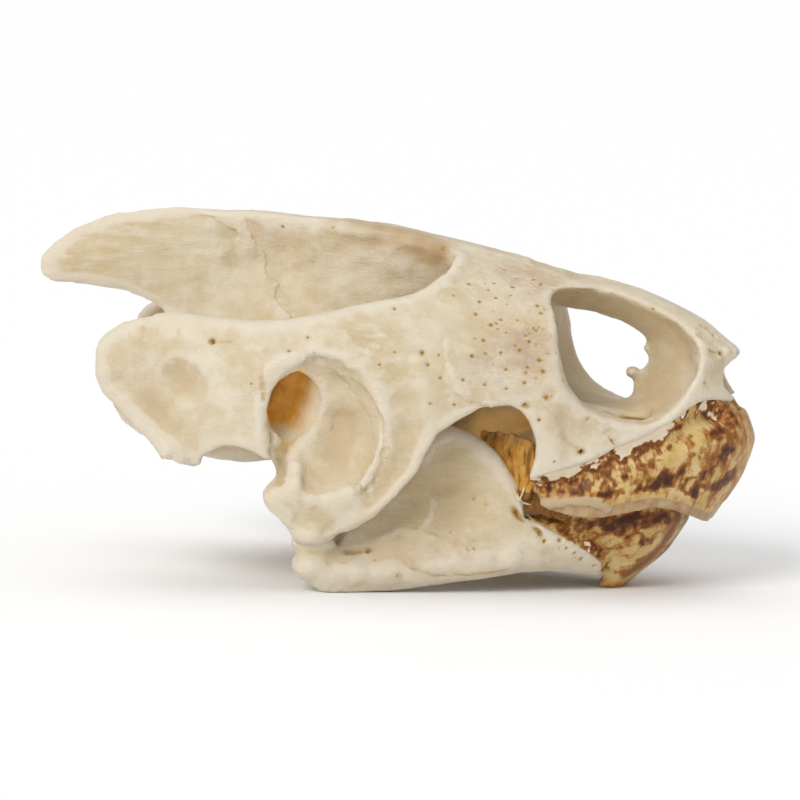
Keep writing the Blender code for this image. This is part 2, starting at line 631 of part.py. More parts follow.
def build_lower_jaw():
    knobs = both_sides([ellipsoid((-6.2, 11.4, 3.0), (1.7, 2.4, 1.3))])
    jaw = fuse([jaw_sweep(), *knobs])
    combine(jaw, fuse(joint_room()))
    combine(jaw, sheath("room", lower_profile, CHIN, CHIN_BACK, 76, PIECE_GAP))
    jaw = fuse([jaw])
    relax(jaw)
    thin_out(jaw, JAW_TRIANGLES)
    return combine(jaw, ground())


def ground():
    """What lies under the surface it stands on, which leans up to the back in the drawing."""
    rise = tan(radians(REST_TILT))
    side = [(x, (CHIN_CONTACT - x) * rise) for x in (-40, 40)]
    block = [(-40, -9), (40, -9), *side[::-1]]
    return loft([[(x, y, z) for x, z in block] for y in (-30, 30)])


def material(name, colour, roughness):
    look = bpy.data.materials.new(name)
    look.use_nodes = True
    shader = look.node_tree.nodes["Principled BSDF"]
    shader.inputs["Base Color"].default_value = (*colour, 1.0)
    shader.inputs["Roughness"].default_value = roughness
    shader.inputs["Metallic"].default_value = 0.0
    return look


def finish(pieces):
    """Names the pieces, gives them their materials and puts them in metres on the origin."""
    for thing, *_ in pieces:
        thing.data.transform(Matrix.Rotation(radians(-REST_TILT), 4, "Y"))
    corners = np.array([tuple(vertex.co) for thing, *_ in pieces for vertex in thing.data.vertices])
    low, high = corners.min(axis=0), corners.max(axis=0)
    scale = SKULL_LENGTH / (high[0] - low[0]) * METRES_PER_MM
    middle = Vector(((low[0] + high[0]) / 2, (low[1] + high[1]) / 2, low[2]))
    holder = bpy.data.objects.new("skull", None)
    bpy.context.collection.objects.link(holder)
    for thing, name, look in pieces:
        thing.data.transform(Matrix.Scale(scale, 4) @ Matrix.Translation(-middle))
        thing.name = thing.data.name = name
        thing.data.materials.clear()
        thing.data.materials.append(look)
        thing.data.shade_smooth()
        thing.data.set_sharp_from_angle(angle=radians(50))
        thing.parent = holder


def main():
    clear_scene()
    bone = material("bone", BONE_COLOUR, 0.5)
    jaw_bone = material("jaw_bone", JAW_COLOUR, 0.5)
    horn = material("horn", HORN_COLOUR, 0.3)
    upper_beak = sheath("upper_beak", upper_profile, SNOUT, SNOUT_BACK, 101)
    lower_beak = combine(sheath("lower_beak", lower_profile, CHIN, CHIN_BACK, 72), ground())
    finish([
        (build_cranium(), "cranium", bone),
        (upper_beak, "upper_beak", horn),
        (build_lower_jaw(), "lower_jaw", jaw_bone),
        (lower_beak, "lower_beak", horn),
    ])


main()
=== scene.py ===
"""Pond turtle skull: cleaned bone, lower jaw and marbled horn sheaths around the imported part.

Run as a script it builds every piece in metres in the part's own frame: snout towards +X, the
animal's right side towards -Y. Places in the tables are millimetres on the right side, and what a
table calls a place is moved to the nearest point of the surface, so it always sits on its bone.
"""

from math import radians

import bpy
import numpy as np
from bpy.props import FloatProperty, FloatVectorProperty, PointerProperty
from bpy.types import Operator, Panel, PropertyGroup
from mathutils import Matrix, Vector, noise
from mathutils.bvhtree import BVHTree
from mathutils.kdtree import KDTree


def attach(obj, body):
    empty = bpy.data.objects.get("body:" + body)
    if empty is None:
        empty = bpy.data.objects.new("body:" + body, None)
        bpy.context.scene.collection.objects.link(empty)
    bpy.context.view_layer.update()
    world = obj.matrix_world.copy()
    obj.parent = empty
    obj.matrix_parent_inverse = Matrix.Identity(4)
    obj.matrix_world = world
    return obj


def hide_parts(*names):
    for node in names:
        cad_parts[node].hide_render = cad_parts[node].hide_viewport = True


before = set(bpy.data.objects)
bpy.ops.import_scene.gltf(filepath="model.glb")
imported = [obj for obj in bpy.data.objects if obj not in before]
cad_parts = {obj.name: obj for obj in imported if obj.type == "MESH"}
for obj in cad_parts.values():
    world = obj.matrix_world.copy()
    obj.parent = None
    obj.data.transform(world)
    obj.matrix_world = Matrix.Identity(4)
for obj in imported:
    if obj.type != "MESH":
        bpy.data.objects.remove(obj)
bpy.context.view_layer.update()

bl_info = {
    "name": "Pond turtle skull",
    "version": (1, 0, 0),
    "blender": (4, 5, 0),
    "location": "View3D > Sidebar > Skull",
    "description": "Bone and horn of a pond turtle skull around its packed frame",
    "category": "Add Mesh",
}

MM = 0.001
# The seed of the lines' wandering, which would otherwise change with the clock
WANDER_SEED = 1
RIGHT_AND_LEFT = (1, -1)
# A bone is shown by this many triangles at most
MOST_TRIANGLES = 190000
# Relaxing steps that leave a solid's volume as it is: first inwards, then a little more outwards
INWARDS, OUTWARDS = 0.6, -0.615
# Marks narrower than these get finer faces, one round for each
FINE_MARKS = (0.5, 0.22)
# How close together the points along a path stand
POINT_STEP = 0.12
# Each ray turns by this many radians from the last one, so that they spread evenly
GOLDEN_ANGLE = 2.39996
# How often each solid's copy is relaxed, and the size and height of the low swellings it then gets
SKULL_ROUNDS, JAW_ROUNDS, HORN_ROUNDS = 5, 6, 4
SKULL_SWELLINGS = [(3.5, 0.14), (1.0, 0.05)]
JAW_SWELLINGS = [(1.4, 0.05)]
HORN_SWELLINGS = [(1.6, 0.06)]
# Towards the snout a bone counts as less closed in, so it takes less painted shade and painted glow there:
# how much less, and from where to where
LESS_CLOSED = [(0.45, 15.5, 18.5), (0.25, 23.5, 25.5)]
# The sheaths' rear tips and the upper one's front, and where the free edge stops wandering
UPPER_REAR, LOWER_REAR, UPPER_FRONT = 11.0, 11.2, 27.2
CALM_FROM, CALM_TO = 21.5, 24.5
# Smoothing rounds: for the horns' fronts, and along their free edges
UPPER_FRONT_ROUNDS, LOWER_FRONT_ROUNDS, RIM_ROUNDS = 160, 120, 12
# The camera's place as a matrix, and its lens in millimetres
CAMERA_PLACE = (
    (0.9955879, -0.0438131, 0.0829775, 0.0315279),
    (0.0871557, 0.1041307, -0.9907374, -0.3719336),
    (0.0347667, 0.9935982, 0.1074898, 0.0549170),
    (0, 0, 0, 1),
)
CAMERA_LENS = 204
# The tints that a bone can take
TINTS = ("ochre", "tan", "pink", "white", "straw", "shade")

# The skull's relief, in the right side's places: half width and depth, negative for a ridge, then the path
SKULL_RELIEF = [
    # The squamosal: a deep hollow inside a raised rim, and a second ridge between it and the ear
    (2.6, 0.55, [(-20.6, -12.7, 18.6), (-18.6, -13.8, 16.8), (-16.4, -14.4, 14.8), (-15.0, -14.6, 12.8)]),
    (0.85, -0.75, [(-20.6, -12.1, 20.9), (-22.5, -11.7, 19.2), (-22.7, -11.9, 17.6),
        (-22.1, -11.9, 15.8), (-20.3, -12.8, 14.2), (-18.5, -13.6, 12.6), (-16.4, -13.9, 10.6)]),
    (1.5, -0.4, [(-19.6, -12.6, 21.9), (-16.8, -13.6, 21.6), (-14.2, -14.6, 21.0)]),
    (1.6, -0.4, [(-14.1, -14.9, 19.9), (-13.0, -15.4, 18.0), (-11.9, -15.5, 15.7), (-11.4, -15.4, 12.9)]),
    # The ear: its bowl, the ring around it, the crest in front and the hollow towards the cheek
    (1.5, 0.75, [(-4.0, -12.9, 15.6), (-3.2, -12.9, 13.8), (-3.4, -13.0, 11.8), (-4.4, -13.4, 10.2)]),
    (0.38, -0.2, [(-5.0, -14.7, 18.7), (-3.7, -14.1, 18.3), (-2.3, -13.9, 17.3), (-1.2, -14.0, 16.1),
        (-0.3, -14.4, 14.6), (0.1, -14.7, 12.9), (-0.1, -14.7, 11.1), (-0.9, -14.5, 9.3)]),
    (0.45, -0.22, [(-6.4, -15.3, 18.9), (-7.8, -15.5, 19.0), (-8.8, -15.6, 18.4), (-9.4, -15.7, 17.0),
        (-9.5, -15.7, 15.0), (-9.3, -15.5, 12.9), (-8.6, -15.0, 11.9)]),
    (1.1, 0.35, [(1.5, -14.6, 17.2), (2.2, -14.4, 14.8), (2.0, -14.4, 12.2), (1.0, -14.3, 9.6),
        (-1.0, -14.0, 7.2)]),
    (0.45, -0.3, [(9.4, -12.3, 15.9), (7.9, -12.9, 15.8), (6.0, -13.4, 14.8), (4.5, -13.7, 13.6),
        (3.6, -13.8, 12.1), (2.9, -13.8, 10.3), (1.4, -13.7, 8.6), (-0.8, -13.3, 6.6),
        (-2.8, -12.8, 5.1)]),
    # The quadrate's groove, its ridge and the flare below them
    (0.5, 0.5, [(-8.9, -15.1, 12.0), (-8.3, -13.6, 10.4), (-7.9, -14.9, 8.9)]),
    (0.5, -0.5, [(-8.2, -14.3, 12.6), (-7.2, -12.9, 11.4), (-6.5, -13.9, 10.1), (-6.4, -14.7, 8.6)]),
    (0.9, 0.35, [(-5.8, -14.3, 6.8), (-4.6, -14.2, 5.8), (-3.4, -13.6, 4.8)]),
    # Under the edge of the roof, and the front end of the upper opening
    (0.9, 0.45, [(-7.0, -1.8, 28.2), (-3.0, -2.3, 27.8), (0.4, -2.6, 27.3), (2.6, -3.0, 26.7)]),
    (1.1, 0.45, [(2.4, -4.2, 26.2), (2.5, -5.8, 25.2), (2.4, -7.2, 24.2)]),
    # The floor of the orbit, sunk below its ledge
    (0.9, 0.9, [(18.9, -5.2, 14.3), (20.2, -4.6, 14.6), (21.4, -4.8, 15.0)]),
    # Lips beside the cheek suture and under the brow, made white by the painted highlight on ridges
    (0.2, -0.1, [(5.1, -12.7, 21.0), (5.1, -13.0, 20.0), (5.5, -13.4, 18.3), (6.2, -13.3, 17.0),
        (7.6, -12.9, 16.3)]),
    (0.25, -0.1, [(-12.5, -1, 28.6), (-11.9, -1, 27.3), (-11.0, -1.2, 25.8), (-10.0, -2.2, 23.9)]),
    (0.9, 0.25, [(20.4, -5.4, 20.4), (22.0, -5.2, 19.4), (23.0, -5.4, 18.0)]),
]
# Narrow furrows: half width, depth and stain, then the path
SKULL_FURROWS = [
    (0.1, 0.05, 0.1, [(12.3, -11.8, 16.2), (13.2, -11.5, 15.7), (13.9, -11.3, 15.1), (14.2, -11.1, 14.2)]),
    # Furrows that lead to holes
    (0.17, 0.1, 0.25, [(-13.5, -14.9, 20.2), (-12.6, -15.0, 20.2), (-11.5, -15.0, 20.3)]),
    (0.22, 0.2, 0.45, [(14.4, -10.8, 13.4), (14.9, -10.6, 12.9), (15.5, -10.4, 12.5),
        (16.0, -10.2, 12.2)]),
    # Cracks above the horn
    (0.07, 0.09, 0.55, [(18.0, -9.9, 13.6), (18.3, -9.8, 13.2), (18.7, -9.6, 12.6)]),
    (0.05, 0.07, 0.35, [(17.5, -10.0, 13.4), (17.9, -9.9, 13.0), (18.1, -9.8, 12.6)]),
    # Yellow furrow in the spongy bone and streaks on the roof
    (0.11, 0.08, 0.32, [(11.2, -5.8, 25.3), (11.9, -5.6, 25.2), (12.6, -5.5, 25.0)]),
    (0.1, 0.05, 0.16, [(7.6, -6.4, 25.8), (9.2, -5.4, 25.8), (10.8, -4.8, 25.8), (12.4, -4.4, 25.6)]),
    (0.1, 0.05, 0.16, [(8.4, -4.6, 26.4), (10.2, -4.0, 26.2), (12.2, -3.4, 25.9)]),
    (0.09, 0.05, 0.16, [(12.8, -5.6, 25.0), (14.6, -4.6, 24.6), (16.6, -4.2, 24.0)]),
    # Fissures in the rough bone in front of the ear
    (0.1, 0.06, 0.14, [(-2.8, -14.5, 21.3), (-1.4, -14.4, 20.9), (0.2, -14.2, 20.7)]),
    (0.09, 0.06, 0.14, [(-1.8, -14.5, 20.3), (-0.4, -14.4, 20.0), (1.1, -14.2, 19.8)]),
    (0.09, 0.05, 0.12, [(-4.6, -15.0, 20.2), (-3.2, -14.7, 20.4), (-1.8, -14.5, 20.9)]),
    (0.09, 0.05, 0.12, [(0.4, -13.9, 21.2), (1.3, -13.3, 21.6), (2.2, -12.9, 21.5)]),
    # Cracks at the flaky tip of the nose
    (0.08, 0.08, 0.3, [(24.6, -4.4, 21.6), (25.4, -4.2, 21.3), (26.0, -4.1, 20.9)]),
    (0.08, 0.08, 0.3, [(25.6, -4.6, 20.3), (26.4, -4.1, 20.0), (27.0, -3.6, 19.8)]),
    (0.08, 0.05, 0.16, [(22.3, -5.6, 18.6), (22.1, -6.0, 17.4), (21.7, -6.6, 16.3)]),
]
# Edges where one plate lies on the next: height, reach, how soft the edge is, the way to the lower side and
# stain, then the path
SKULL_STEPS = [
    (0.14, 1.6, 0.07, (1, 0, 0.4), 0.03, [(-12.9, -1, 29.4), (-12.3, -1, 27.6), (-11.3, -1, 26.2),
        (-10.9, -1.6, 24.8), (-10.0, -2.3, 23.9), (-9.9, -3.0, 22.9), (-8.6, -4.1, 21.6),
        (-8.4, -5.0, 20.8)]),
    (0.12, 0.9, 0.07, (0, 0, -1), 0.1, [(-17.0, -0.6, 29.3), (-15.4, -1.0, 29.1), (-14.4, -1.1, 28.5),
        (-13.3, -1.0, 27.4)]),
    (0.12, 1.2, 0.07, (-1, 0, -0.6), 0.12, [(4.9, -12.4, 21.6), (4.7, -12.9, 20.5), (5.1, -13.3, 19.4),
        (4.9, -13.6, 18.2), (5.7, -13.5, 16.9), (6.9, -13.2, 16.2), (8.2, -12.8, 15.8),
        (9.8, -12.4, 15.4)]),
    (0.34, 1.2, 0.3, (-1, 0, -0.3), 0.05, [(-6.0, -15.0, 19.6), (-4.4, -14.6, 19.1), (-3.2, -14.2, 18.2),
        (-1.9, -14.2, 17.3), (-0.7, -14.4, 16.0), (0.2, -14.9, 14.7), (0.6, -14.7, 12.9),
        (0.5, -14.5, 11.1), (-0.1, -14.4, 9.5), (-1.6, -14.6, 8.2)]),
    (0.26, 1.0, 0.3, (-1, 0, 0), 0.06, [(-4.1, -13.9, 18.1), (-2.9, -13.6, 17.0), (-1.7, -13.6, 15.7),
        (-0.9, -13.8, 13.9), (-0.6, -14.1, 12.4), (-1.0, -14.3, 10.5), (-2.0, -14.5, 8.9)]),
    (0.1, 0.8, 0.12, (1, 0, -1), 0.06, [(16.2, -10.4, 14.9), (17.4, -10.1, 14.4), (18.2, -9.9, 13.8),
        (18.8, -9.6, 12.9)]),
]
# Holes: place, radius, depth, length along the skull, stain
SKULL_HOLES = [
    ((-13.5, -14.9, 20.2), 0.3, 0.6, 0.3, 1.0), ((-9.7, -1.3, 28.6), 0.14, 0.3, 0.1, 0.9),
    ((-5.5, -1.9, 28.9), 0.14, 0.3, 0.1, 0.9), ((3.2, -13.6, 19.9), 0.24, 0.45, 0.1, 0.9),
    ((3.7, -13.8, 19.0), 0.18, 0.3, 0.1, 0.8), ((0.7, -11.9, 23.2), 0.16, 0.3, 0.2, 0.7),
    ((11.5, -11.9, 15.8), 0.3, 0.6, 0.4, 0.9), ((12.6, -11.6, 14.7), 0.16, 0.35, 0.1, 0.8),
    ((16.0, -10.2, 12.1), 0.28, 0.7, 0.5, 1.0), ((16.5, -10.4, 14.8), 0.18, 0.2, 0.7, 0.3),
    ((13.9, -10.8, 11.3), 0.12, 0.2, 0.2, 0.6), ((17.4, -9.9, 11.9), 0.09, 0.2, 0.0, 0.9),
    ((20.0, -8.9, 21.6), 0.14, 0.25, 0.2, 0.7), ((26.7, -3.4, 19.8), 0.22, 0.4, 0.5, 0.7),
    ((25.4, -5.1, 17.6), 0.16, 0.25, 0.2, 0.6), ((-5.9, -15.0, 20.9), 0.13, 0.25, 0.2, 0.6),
    ((-10.2, -15.4, 17.0), 0.12, 0.2, 0.1, 0.6), ((-7.3, -15.4, 19.8), 0.12, 0.2, 0.5, 0.5),
]
# Pores of the spongy bone behind the eye: x, y, z, radius, length
SPONGY_PORES = [
    (7.1, -10.2, 22.9, 0.14, 0.3), (8.4, -10.5, 22.1, 0.15, 0.4), (8.8, -10.3, 22.2, 0.11, 0.2),
    (11.5, -10.6, 20.9, 0.16, 0.3), (7.9, -11.5, 20.9, 0.15, 0.3), (8.1, -12.0, 19.9, 0.13, 0.2),
    (9.3, -11.6, 20.0, 0.12, 0.3), (10.8, -11.1, 20.2, 0.13, 0.3), (7.1, -12.5, 19.7, 0.14, 0.5),
    (9.8, -12.1, 18.7, 0.13, 0.2), (11.5, -11.5, 18.9, 0.12, 0.3), (11.3, -11.9, 17.7, 0.13, 0.3),
    (9.9, -12.3, 17.2, 0.11, 0.2), (8.2, -12.8, 17.5, 0.1, 0.3), (6.5, -13.2, 17.8, 0.12, 0.3),
    (12.4, -11.1, 19.5, 0.16, 0.4), (12.7, -11.3, 18.6, 0.18, 0.3), (13.1, -11.5, 16.5, 0.2, 0.4),
    (6.3, -8.0, 25.1, 0.12, 0.3), (8.3, -7.1, 25.2, 0.13, 0.3), (9.8, -7.0, 24.9, 0.12, 0.5),
    (10.0, -5.7, 25.5, 0.11, 0.4), (11.4, -5.4, 25.4, 0.12, 0.6), (12.0, -5.8, 25.1, 0.12, 0.3),
    (7.9, -8.0, 24.7, 0.1, 0.2), (5.2, -9.5, 24.2, 0.12, 0.2), (7.3, -9.2, 23.8, 0.13, 0.3),
    (9.0, -4.8, 26.1, 0.1, 0.4), (11.9, -8.2, 23.6, 0.14, 0.3), (12.2, -8.7, 23.0, 0.12, 0.3),
    (4.5, -13.3, 19.8, 0.1, 0.1), (1.0, -14.1, 19.9, 0.1, 0.2), (5.9, -13.5, 15.8, 0.1, 0.3),
    (4.0, -14.1, 15.9, 0.09, 0.2), (-0.1, -14.7, 18.9, 0.09, 0.3), (4.7, -13.7, 18.0, 0.12, 0.2),
    (18.4, -9.8, 13.1, 0.12, 0.3), (14.8, -3.7, 24.4, 0.1, 0.3),
]
# Edges with small bites out of them: how many, radius, then the path
SKULL_RAGGED_EDGES = [
    (14, 0.2, [(3.7, -3.6, 27.7), (3.9, -4.8, 27.0), (4.0, -6.0, 26.4), (4.0, -7.2, 25.7)]),
    (8, 0.2, [(-9.3, -15.2, 17.2), (-9.3, -15.2, 15.2), (-9.1, -15.0, 13.2), (-8.6, -14.6, 12.0)]),
    (10, 0.2, [(24.6, -3.0, 22.6), (26.2, -2.2, 22.0), (27.3, -2.0, 20.9), (28.0, -2.4, 19.7)]),
]
# Rough patches: place, radius, height and size of the bumps, and how drawn out they are along each axis
SKULL_ROUGH_PATCHES = [
    ((-1.2, -14.5, 20.6), 3.2, 0.14, 0.7, (2.4, 1.0, 0.6)),
    ((10.0, -10.5, 21.2), 3.6, 0.08, 0.7, (1.4, 1.0, 0.8)),
    ((26.0, -4.0, 20.6), 2.4, 0.18, 0.8, (1.6, 1.0, 0.7)),
    ((10.5, -5.0, 25.6), 3.4, 0.12, 0.7, (3.0, 1.0, 0.8)),
    ((-6.5, -14.5, 7.8), 2.2, 0.14, 0.8, (1.0, 1.0, 1.0)),
    ((-9.3, -15.3, 15.0), 1.6, 0.14, 0.6, (0.8, 1.0, 1.2)),
    ((-13.5, -1.0, 27.0), 3.0, 0.12, 1.2, (1.0, 1.0, 2.0)),
    ((-22.0, -0.6, 26.2), 8.0, 0.06, 0.9, (5.0, 1.0, 0.8)),
    ((-4.0, -2.4, 25.0), 6.0, 0.14, 1.8, (1.6, 1.0, 1.0)),
    ((17.6, -9.9, 13.2), 2.0, 0.1, 0.7, (1.6, 1.0, 0.8)),
]
# Where the bones take another colour: place, radius and strength of each spot, by tint
SKULL_TINTS = {
    "ochre": [
        ((-8.6, -10.6, 14.9), 2.8, 0.9), ((10.4, -6.0, 11.6), 2.8, 1.0), ((8.2, -5.4, 11.8), 1.8, 1.0),
        ((7.6, -3.2, 13.0), 2.6, 0.3), ((11.6, -8.6, 10.4), 2.0, 0.8),
    ],
    "pink": [
        ((11.0, -11.0, 20.2), 2.7, 0.9), ((8.0, -12.3, 18.6), 1.3, 0.8), ((10.6, -5.6, 25.3), 2.4, 0.8),
        ((-19.5, -13.2, 16.8), 3.0, 0.35), ((14.6, -11.0, 14.4), 1.6, 0.5),
    ],
    "white": [
        ((6.4, -13.2, 17.6), 1.5, 0.8), ((9.2, -12.6, 15.9), 1.6, 0.7), ((-9.4, -15.6, 14.8), 0.9, 0.8),
        ((-7.0, -13.6, 10.4), 1.2, 0.7), ((17.6, -9.9, 13.2), 2.0, 0.8), ((25.2, -5.0, 17.2), 2.6, 0.7),
        ((26.6, -2.4, 21.4), 1.8, 0.6), ((8.0, -6.6, 25.6), 3.0, 0.6), ((-9.0, -14.6, 21.0), 3.0, 0.4),
        ((-14.0, -0.6, 24.5), 6.0, 0.35), ((-3.0, -1.4, 24.6), 4.0, 0.35), ((13.0, -10.3, 10.8), 1.4, 0.9),
        ((15.4, -10.0, 11.5), 1.4, 0.9), ((19.6, -9.4, 13.8), 1.4, 0.8), ((22.2, -8.2, 15.0), 1.4, 0.8),
        ((24.6, -6.5, 16.2), 1.4, 0.8), ((4.6, -5.0, 27.2), 2.2, 0.9), ((-1.0, -2.0, 29.6), 1.8, 0.7),
        ((2.0, -12.0, 22.8), 3.0, 0.5), ((17.0, -8.2, 24.0), 1.8, 0.6),
    ],
    "straw": [
        ((-25.0, -0.6, 26.5), 6.0, 0.6), ((-14.0, -0.8, 26.0), 3.0, 0.3), ((-1.0, -3.0, 27.6), 3.0, 0.4),
        ((7.0, -11.4, 22.0), 2.0, 0.6), ((23.0, -6.4, 17.6), 2.4, 0.6), ((15.0, -4.0, 19.5), 4.5, 1.0),
        ((18.6, -7.4, 23.2), 3.6, 1.0), ((22.0, -6.0, 17.0), 4.0, 0.7),
    ],
    # Tan, partly painted shade such as on the orbit's ceiling; where closed in, also a painted glow
    "tan": [
        ((8.0, -3.2, 13.6), 2.6, 1.0), ((10.4, -4.6, 13.8), 1.6, 0.8), ((20.6, -6.0, 22.6), 2.4, 0.6),
        ((17.6, -6.6, 23.6), 1.8, 0.5), ((15.0, -3.2, 19.5), 2.2, 0.5), ((19.9, -4.8, 14.2), 1.5, 1.0),
    ],
    # Painted shade: a tan band under the overhanging edge of the roof
    "shade": [
        ((3.3, -2.8, 27.2), 1.3, 1.0), ((1.8, -2.2, 27.7), 1.2, 1.0), ((0.0, -1.7, 28.1), 1.2, 1.0),
        ((-1.7, -1.4, 28.4), 1.1, 1.0), ((-3.6, -1.2, 28.7), 1.0, 0.8), ((-5.6, -1.0, 28.9), 0.9, 0.5),
    ],
}
# The jaw's joint, a low lump that meets the skull's: place and half sizes
JAW_JOINT = ((-5.3, -11.7, 4.0), (1.9, 1.2, 0.85))
# The jaw's own holes, furrows, relief, tints and rough patches, laid out as the skull's are
JAW_HOLES = [
    ((14.4, -7.4, 4.5), 0.24, 0.5, 0.0, 1.0), ((13.2, -7.8, 4.4), 0.19, 0.45, 0.1, 0.8),
    ((15.0, -7.1, 3.8), 0.16, 0.35, 0.1, 0.8), ((14.4, -7.3, 3.8), 0.1, 0.25, 0.0, 0.8),
    ((15.6, -6.7, 3.4), 0.14, 0.3, 0.1, 0.8), ((16.1, -6.2, 2.9), 0.12, 0.25, 0.2, 0.7),
    ((17.2, -5.3, 2.2), 0.1, 0.25, 0.3, 0.7), ((17.9, -4.9, 2.3), 0.09, 0.25, 0.3, 0.9),
    ((-0.9, -10.6, 3.3), 0.3, 0.7, 0.2, 0.9), ((-0.2, -11.0, 2.5), 0.12, 0.2, 0.2, 0.5),
    ((1.6, -11.2, 1.6), 0.1, 0.2, 0.2, 0.5), ((7.5, -8.8, 7.7), 0.12, 0.2, 0.4, 0.35),
    ((8.4, -8.7, 7.3), 0.1, 0.2, 0.3, 0.35), ((6.1, -9.3, 4.0), 0.1, 0.2, 0.3, 0.4),
    ((7.1, -9.3, 3.6), 0.1, 0.2, 0.2, 0.4),
]
JAW_FURROWS = [
    (0.32, 0.45, 0.35, [(-3.0, -11.0, 3.1), (-2.2, -10.9, 3.2), (-1.2, -10.6, 3.3)]),
    (0.22, 0.45, 0.95, [(10.5, -8.3, 7.0), (10.9, -8.1, 6.6), (11.3, -8.0, 6.2), (11.6, -7.9, 5.9)]),
    (0.2, 0.45, 0.85, [(12.2, -8.0, 5.6), (12.6, -7.9, 5.2), (13.0, -7.9, 4.8)]),
    (0.1, 0.08, 0.35, [(2.0, -10.4, 2.2), (4.4, -10.1, 1.6), (7.4, -9.6, 1.5), (10.4, -8.8, 1.8)]),
    (0.14, 0.06, 0.12, [(2.6, -9.8, 5.4), (4.6, -9.6, 4.8), (6.6, -9.4, 4.2)]),
]
JAW_RELIEF = [
    (2.0, 0.75, [(5.2, -9.2, 10.6), (5.6, -9.0, 9.0), (6.4, -8.9, 7.4), (7.6, -8.9, 5.8)]),
    (1.3, 0.45, [(3.2, -9.4, 8.2), (2.4, -9.6, 6.6)]),
    (0.75, -0.32, [(-2.1, -12.4, 1.6), (1.8, -11.1, 2.1), (5.7, -9.8, 2.6), (9.7, -8.9, 3.0),
        (12.9, -7.5, 2.8)]),
    (0.42, -0.2, [(0.0, -10.4, 4.3), (1.6, -10.0, 5.1), (3.2, -9.8, 5.1), (4.8, -9.6, 4.4),
        (7.3, -9.3, 3.5), (9.7, -8.8, 3.5), (11.2, -8.4, 4.1)]),
    (0.3, -0.14, [(3.7, -9.5, 8.2), (4.4, -9.4, 7.2), (4.0, -9.6, 6.0), (2.8, -9.9, 5.1)]),
    (0.35, -0.14, [(11.2, -8.0, 7.6), (12.4, -7.8, 6.4), (14.2, -7.5, 5.2), (16.4, -6.6, 4.2)]),
    (0.4, -0.2, [(3.3, -9.4, 10.6), (4.0, -9.3, 12.0), (5.3, -8.9, 12.9)]),
]
JAW_TINTS = {
    # The two spots lowest on the jaw's side are painted light that brightens its lower side
    "white": [
        ((14.0, -7.6, 3.6), 3.4, 0.8), ((9.2, -8.4, 9.6), 1.4, 0.6), ((5.0, -9.8, 2.6), 2.6, 0.6),
        ((9.6, -8.9, 3.2), 2.6, 0.6),
    ],
    "straw": [((6.4, -9.2, 8.6), 5.0, 0.9)],
    "ochre": [((-3.6, -12.4, 0.3), 0.9, 0.9)],
    "pink": [((4.4, -9.8, 2.0), 3.0, 0.25)],
}
JAW_ROUGH_PATCHES = [
    ((5.0, -9.6, 5.4), 6.0, 0.12, 1.6, (1.4, 1.0, 0.9)),
    ((-2.6, -12.2, 1.4), 2.0, 0.14, 0.8, (1.0, 1.0, 1.0)),
]
# Clouds of loose pores: seed, how many, middle, spread, and the range of radii
SKULL_PORE_CLOUDS = [
    (11, 120, (10.2, -10.4, 21.0), (2.4, 1.2, 2.8), (0.06, 0.13)),
    (12, 40, (14.0, -10.0, 17.0), (8.0, 2.0, 5.0), (0.04, 0.09)),
]
JAW_PORE_CLOUDS = [(21, 30, (8.0, -9.0, 4.0), (4.5, 1.0, 1.8), (0.04, 0.08))]

# A thin plate of bone that the solid leaves out, as rows of points: the front edge of the window
# through the orbits, on the mid-plane, with a small knob on it
ORBIT_PLATE = [
    [(19.2, 0, 15.0), (20.8, 0, 14.9), (23.0, 0, 14.8)],
    [(19.7, 0, 15.6), (21.0, 0, 15.6), (23.0, 0, 15.6)],
    [(19.7, 0, 16.4), (21.2, 0, 16.4), (23.0, 0, 16.4)],
    [(19.6, 0, 17.1), (21.4, 0, 17.1), (23.0, 0, 17.1)],
    [(20.2, 0, 17.8), (21.6, 0, 17.8), (23.0, 0, 17.8)],
    [(20.9, 0, 18.6), (21.8, 0, 18.6), (23.0, 0, 18.6)],
    [(20.8, 0, 19.3), (21.8, 0, 19.4), (23.0, 0, 19.4)],
    [(20.0, 0, 20.0), (21.4, 0, 20.2), (23.0, 0, 20.2)],
]
ORBIT_KNOB = ((19.5, 0, 17.75), (0.60, 1.0, 0.45))
ORBIT_PLATE_THICKNESS = 0.9
# Dried tissue: in the ear's opening, and in the corner of the mouth behind and under the upper horn
EAR_TISSUE = [
    [(-10.4, -12.6, 18.8), (-8.6, -12.2, 19.0), (-6.9, -12.4, 18.9), (-5.2, -13.0, 18.4),
        (-4.0, -12.6, 17.8)],
    [(-10.6, -11.8, 17.0), (-8.6, -11.5, 17.1), (-6.8, -11.8, 17.0), (-5.1, -12.75, 16.8),
        (-4.0, -12.1, 16.6)],
    [(-10.6, -11.6, 15.4), (-8.6, -11.2, 15.4), (-6.8, -11.5, 15.4), (-5.0, -12.55, 15.3),
        (-3.9, -11.8, 15.3)],
    [(-10.6, -11.8, 13.8), (-8.6, -11.5, 13.7), (-6.8, -11.7, 13.6), (-5.2, -12.6, 13.6),
        (-4.0, -11.9, 13.6)],
    [(-10.2, -12.4, 12.3), (-8.4, -12.3, 12.1), (-7.0, -12.4, 12.0), (-5.6, -12.7, 12.1),
        (-4.6, -12.2, 12.2)],
]
CORNER_TISSUE = [
    [(7.4, -5.2, 12.9), (9.2, -6.0, 13.0), (10.9, -7.2, 12.8), (12.2, -8.9, 12.5)],
    [(7.8, -6.2, 11.7), (9.5, -6.7, 11.6), (11.1, -7.5, 11.4), (12.3, -9.0, 11.1)],
    [(8.8, -6.9, 10.5), (10.1, -7.2, 10.2), (11.2, -7.9, 10.0), (12.2, -9.1, 9.8)],
    [(9.7, -7.5, 9.3), (10.5, -7.6, 9.0), (11.2, -8.1, 8.8), (12.0, -9.1, 8.7)],
    [(10.3, -7.7, 8.3), (10.8, -7.9, 8.1), (11.3, -8.3, 7.9), (11.9, -9.1, 7.9)],
]
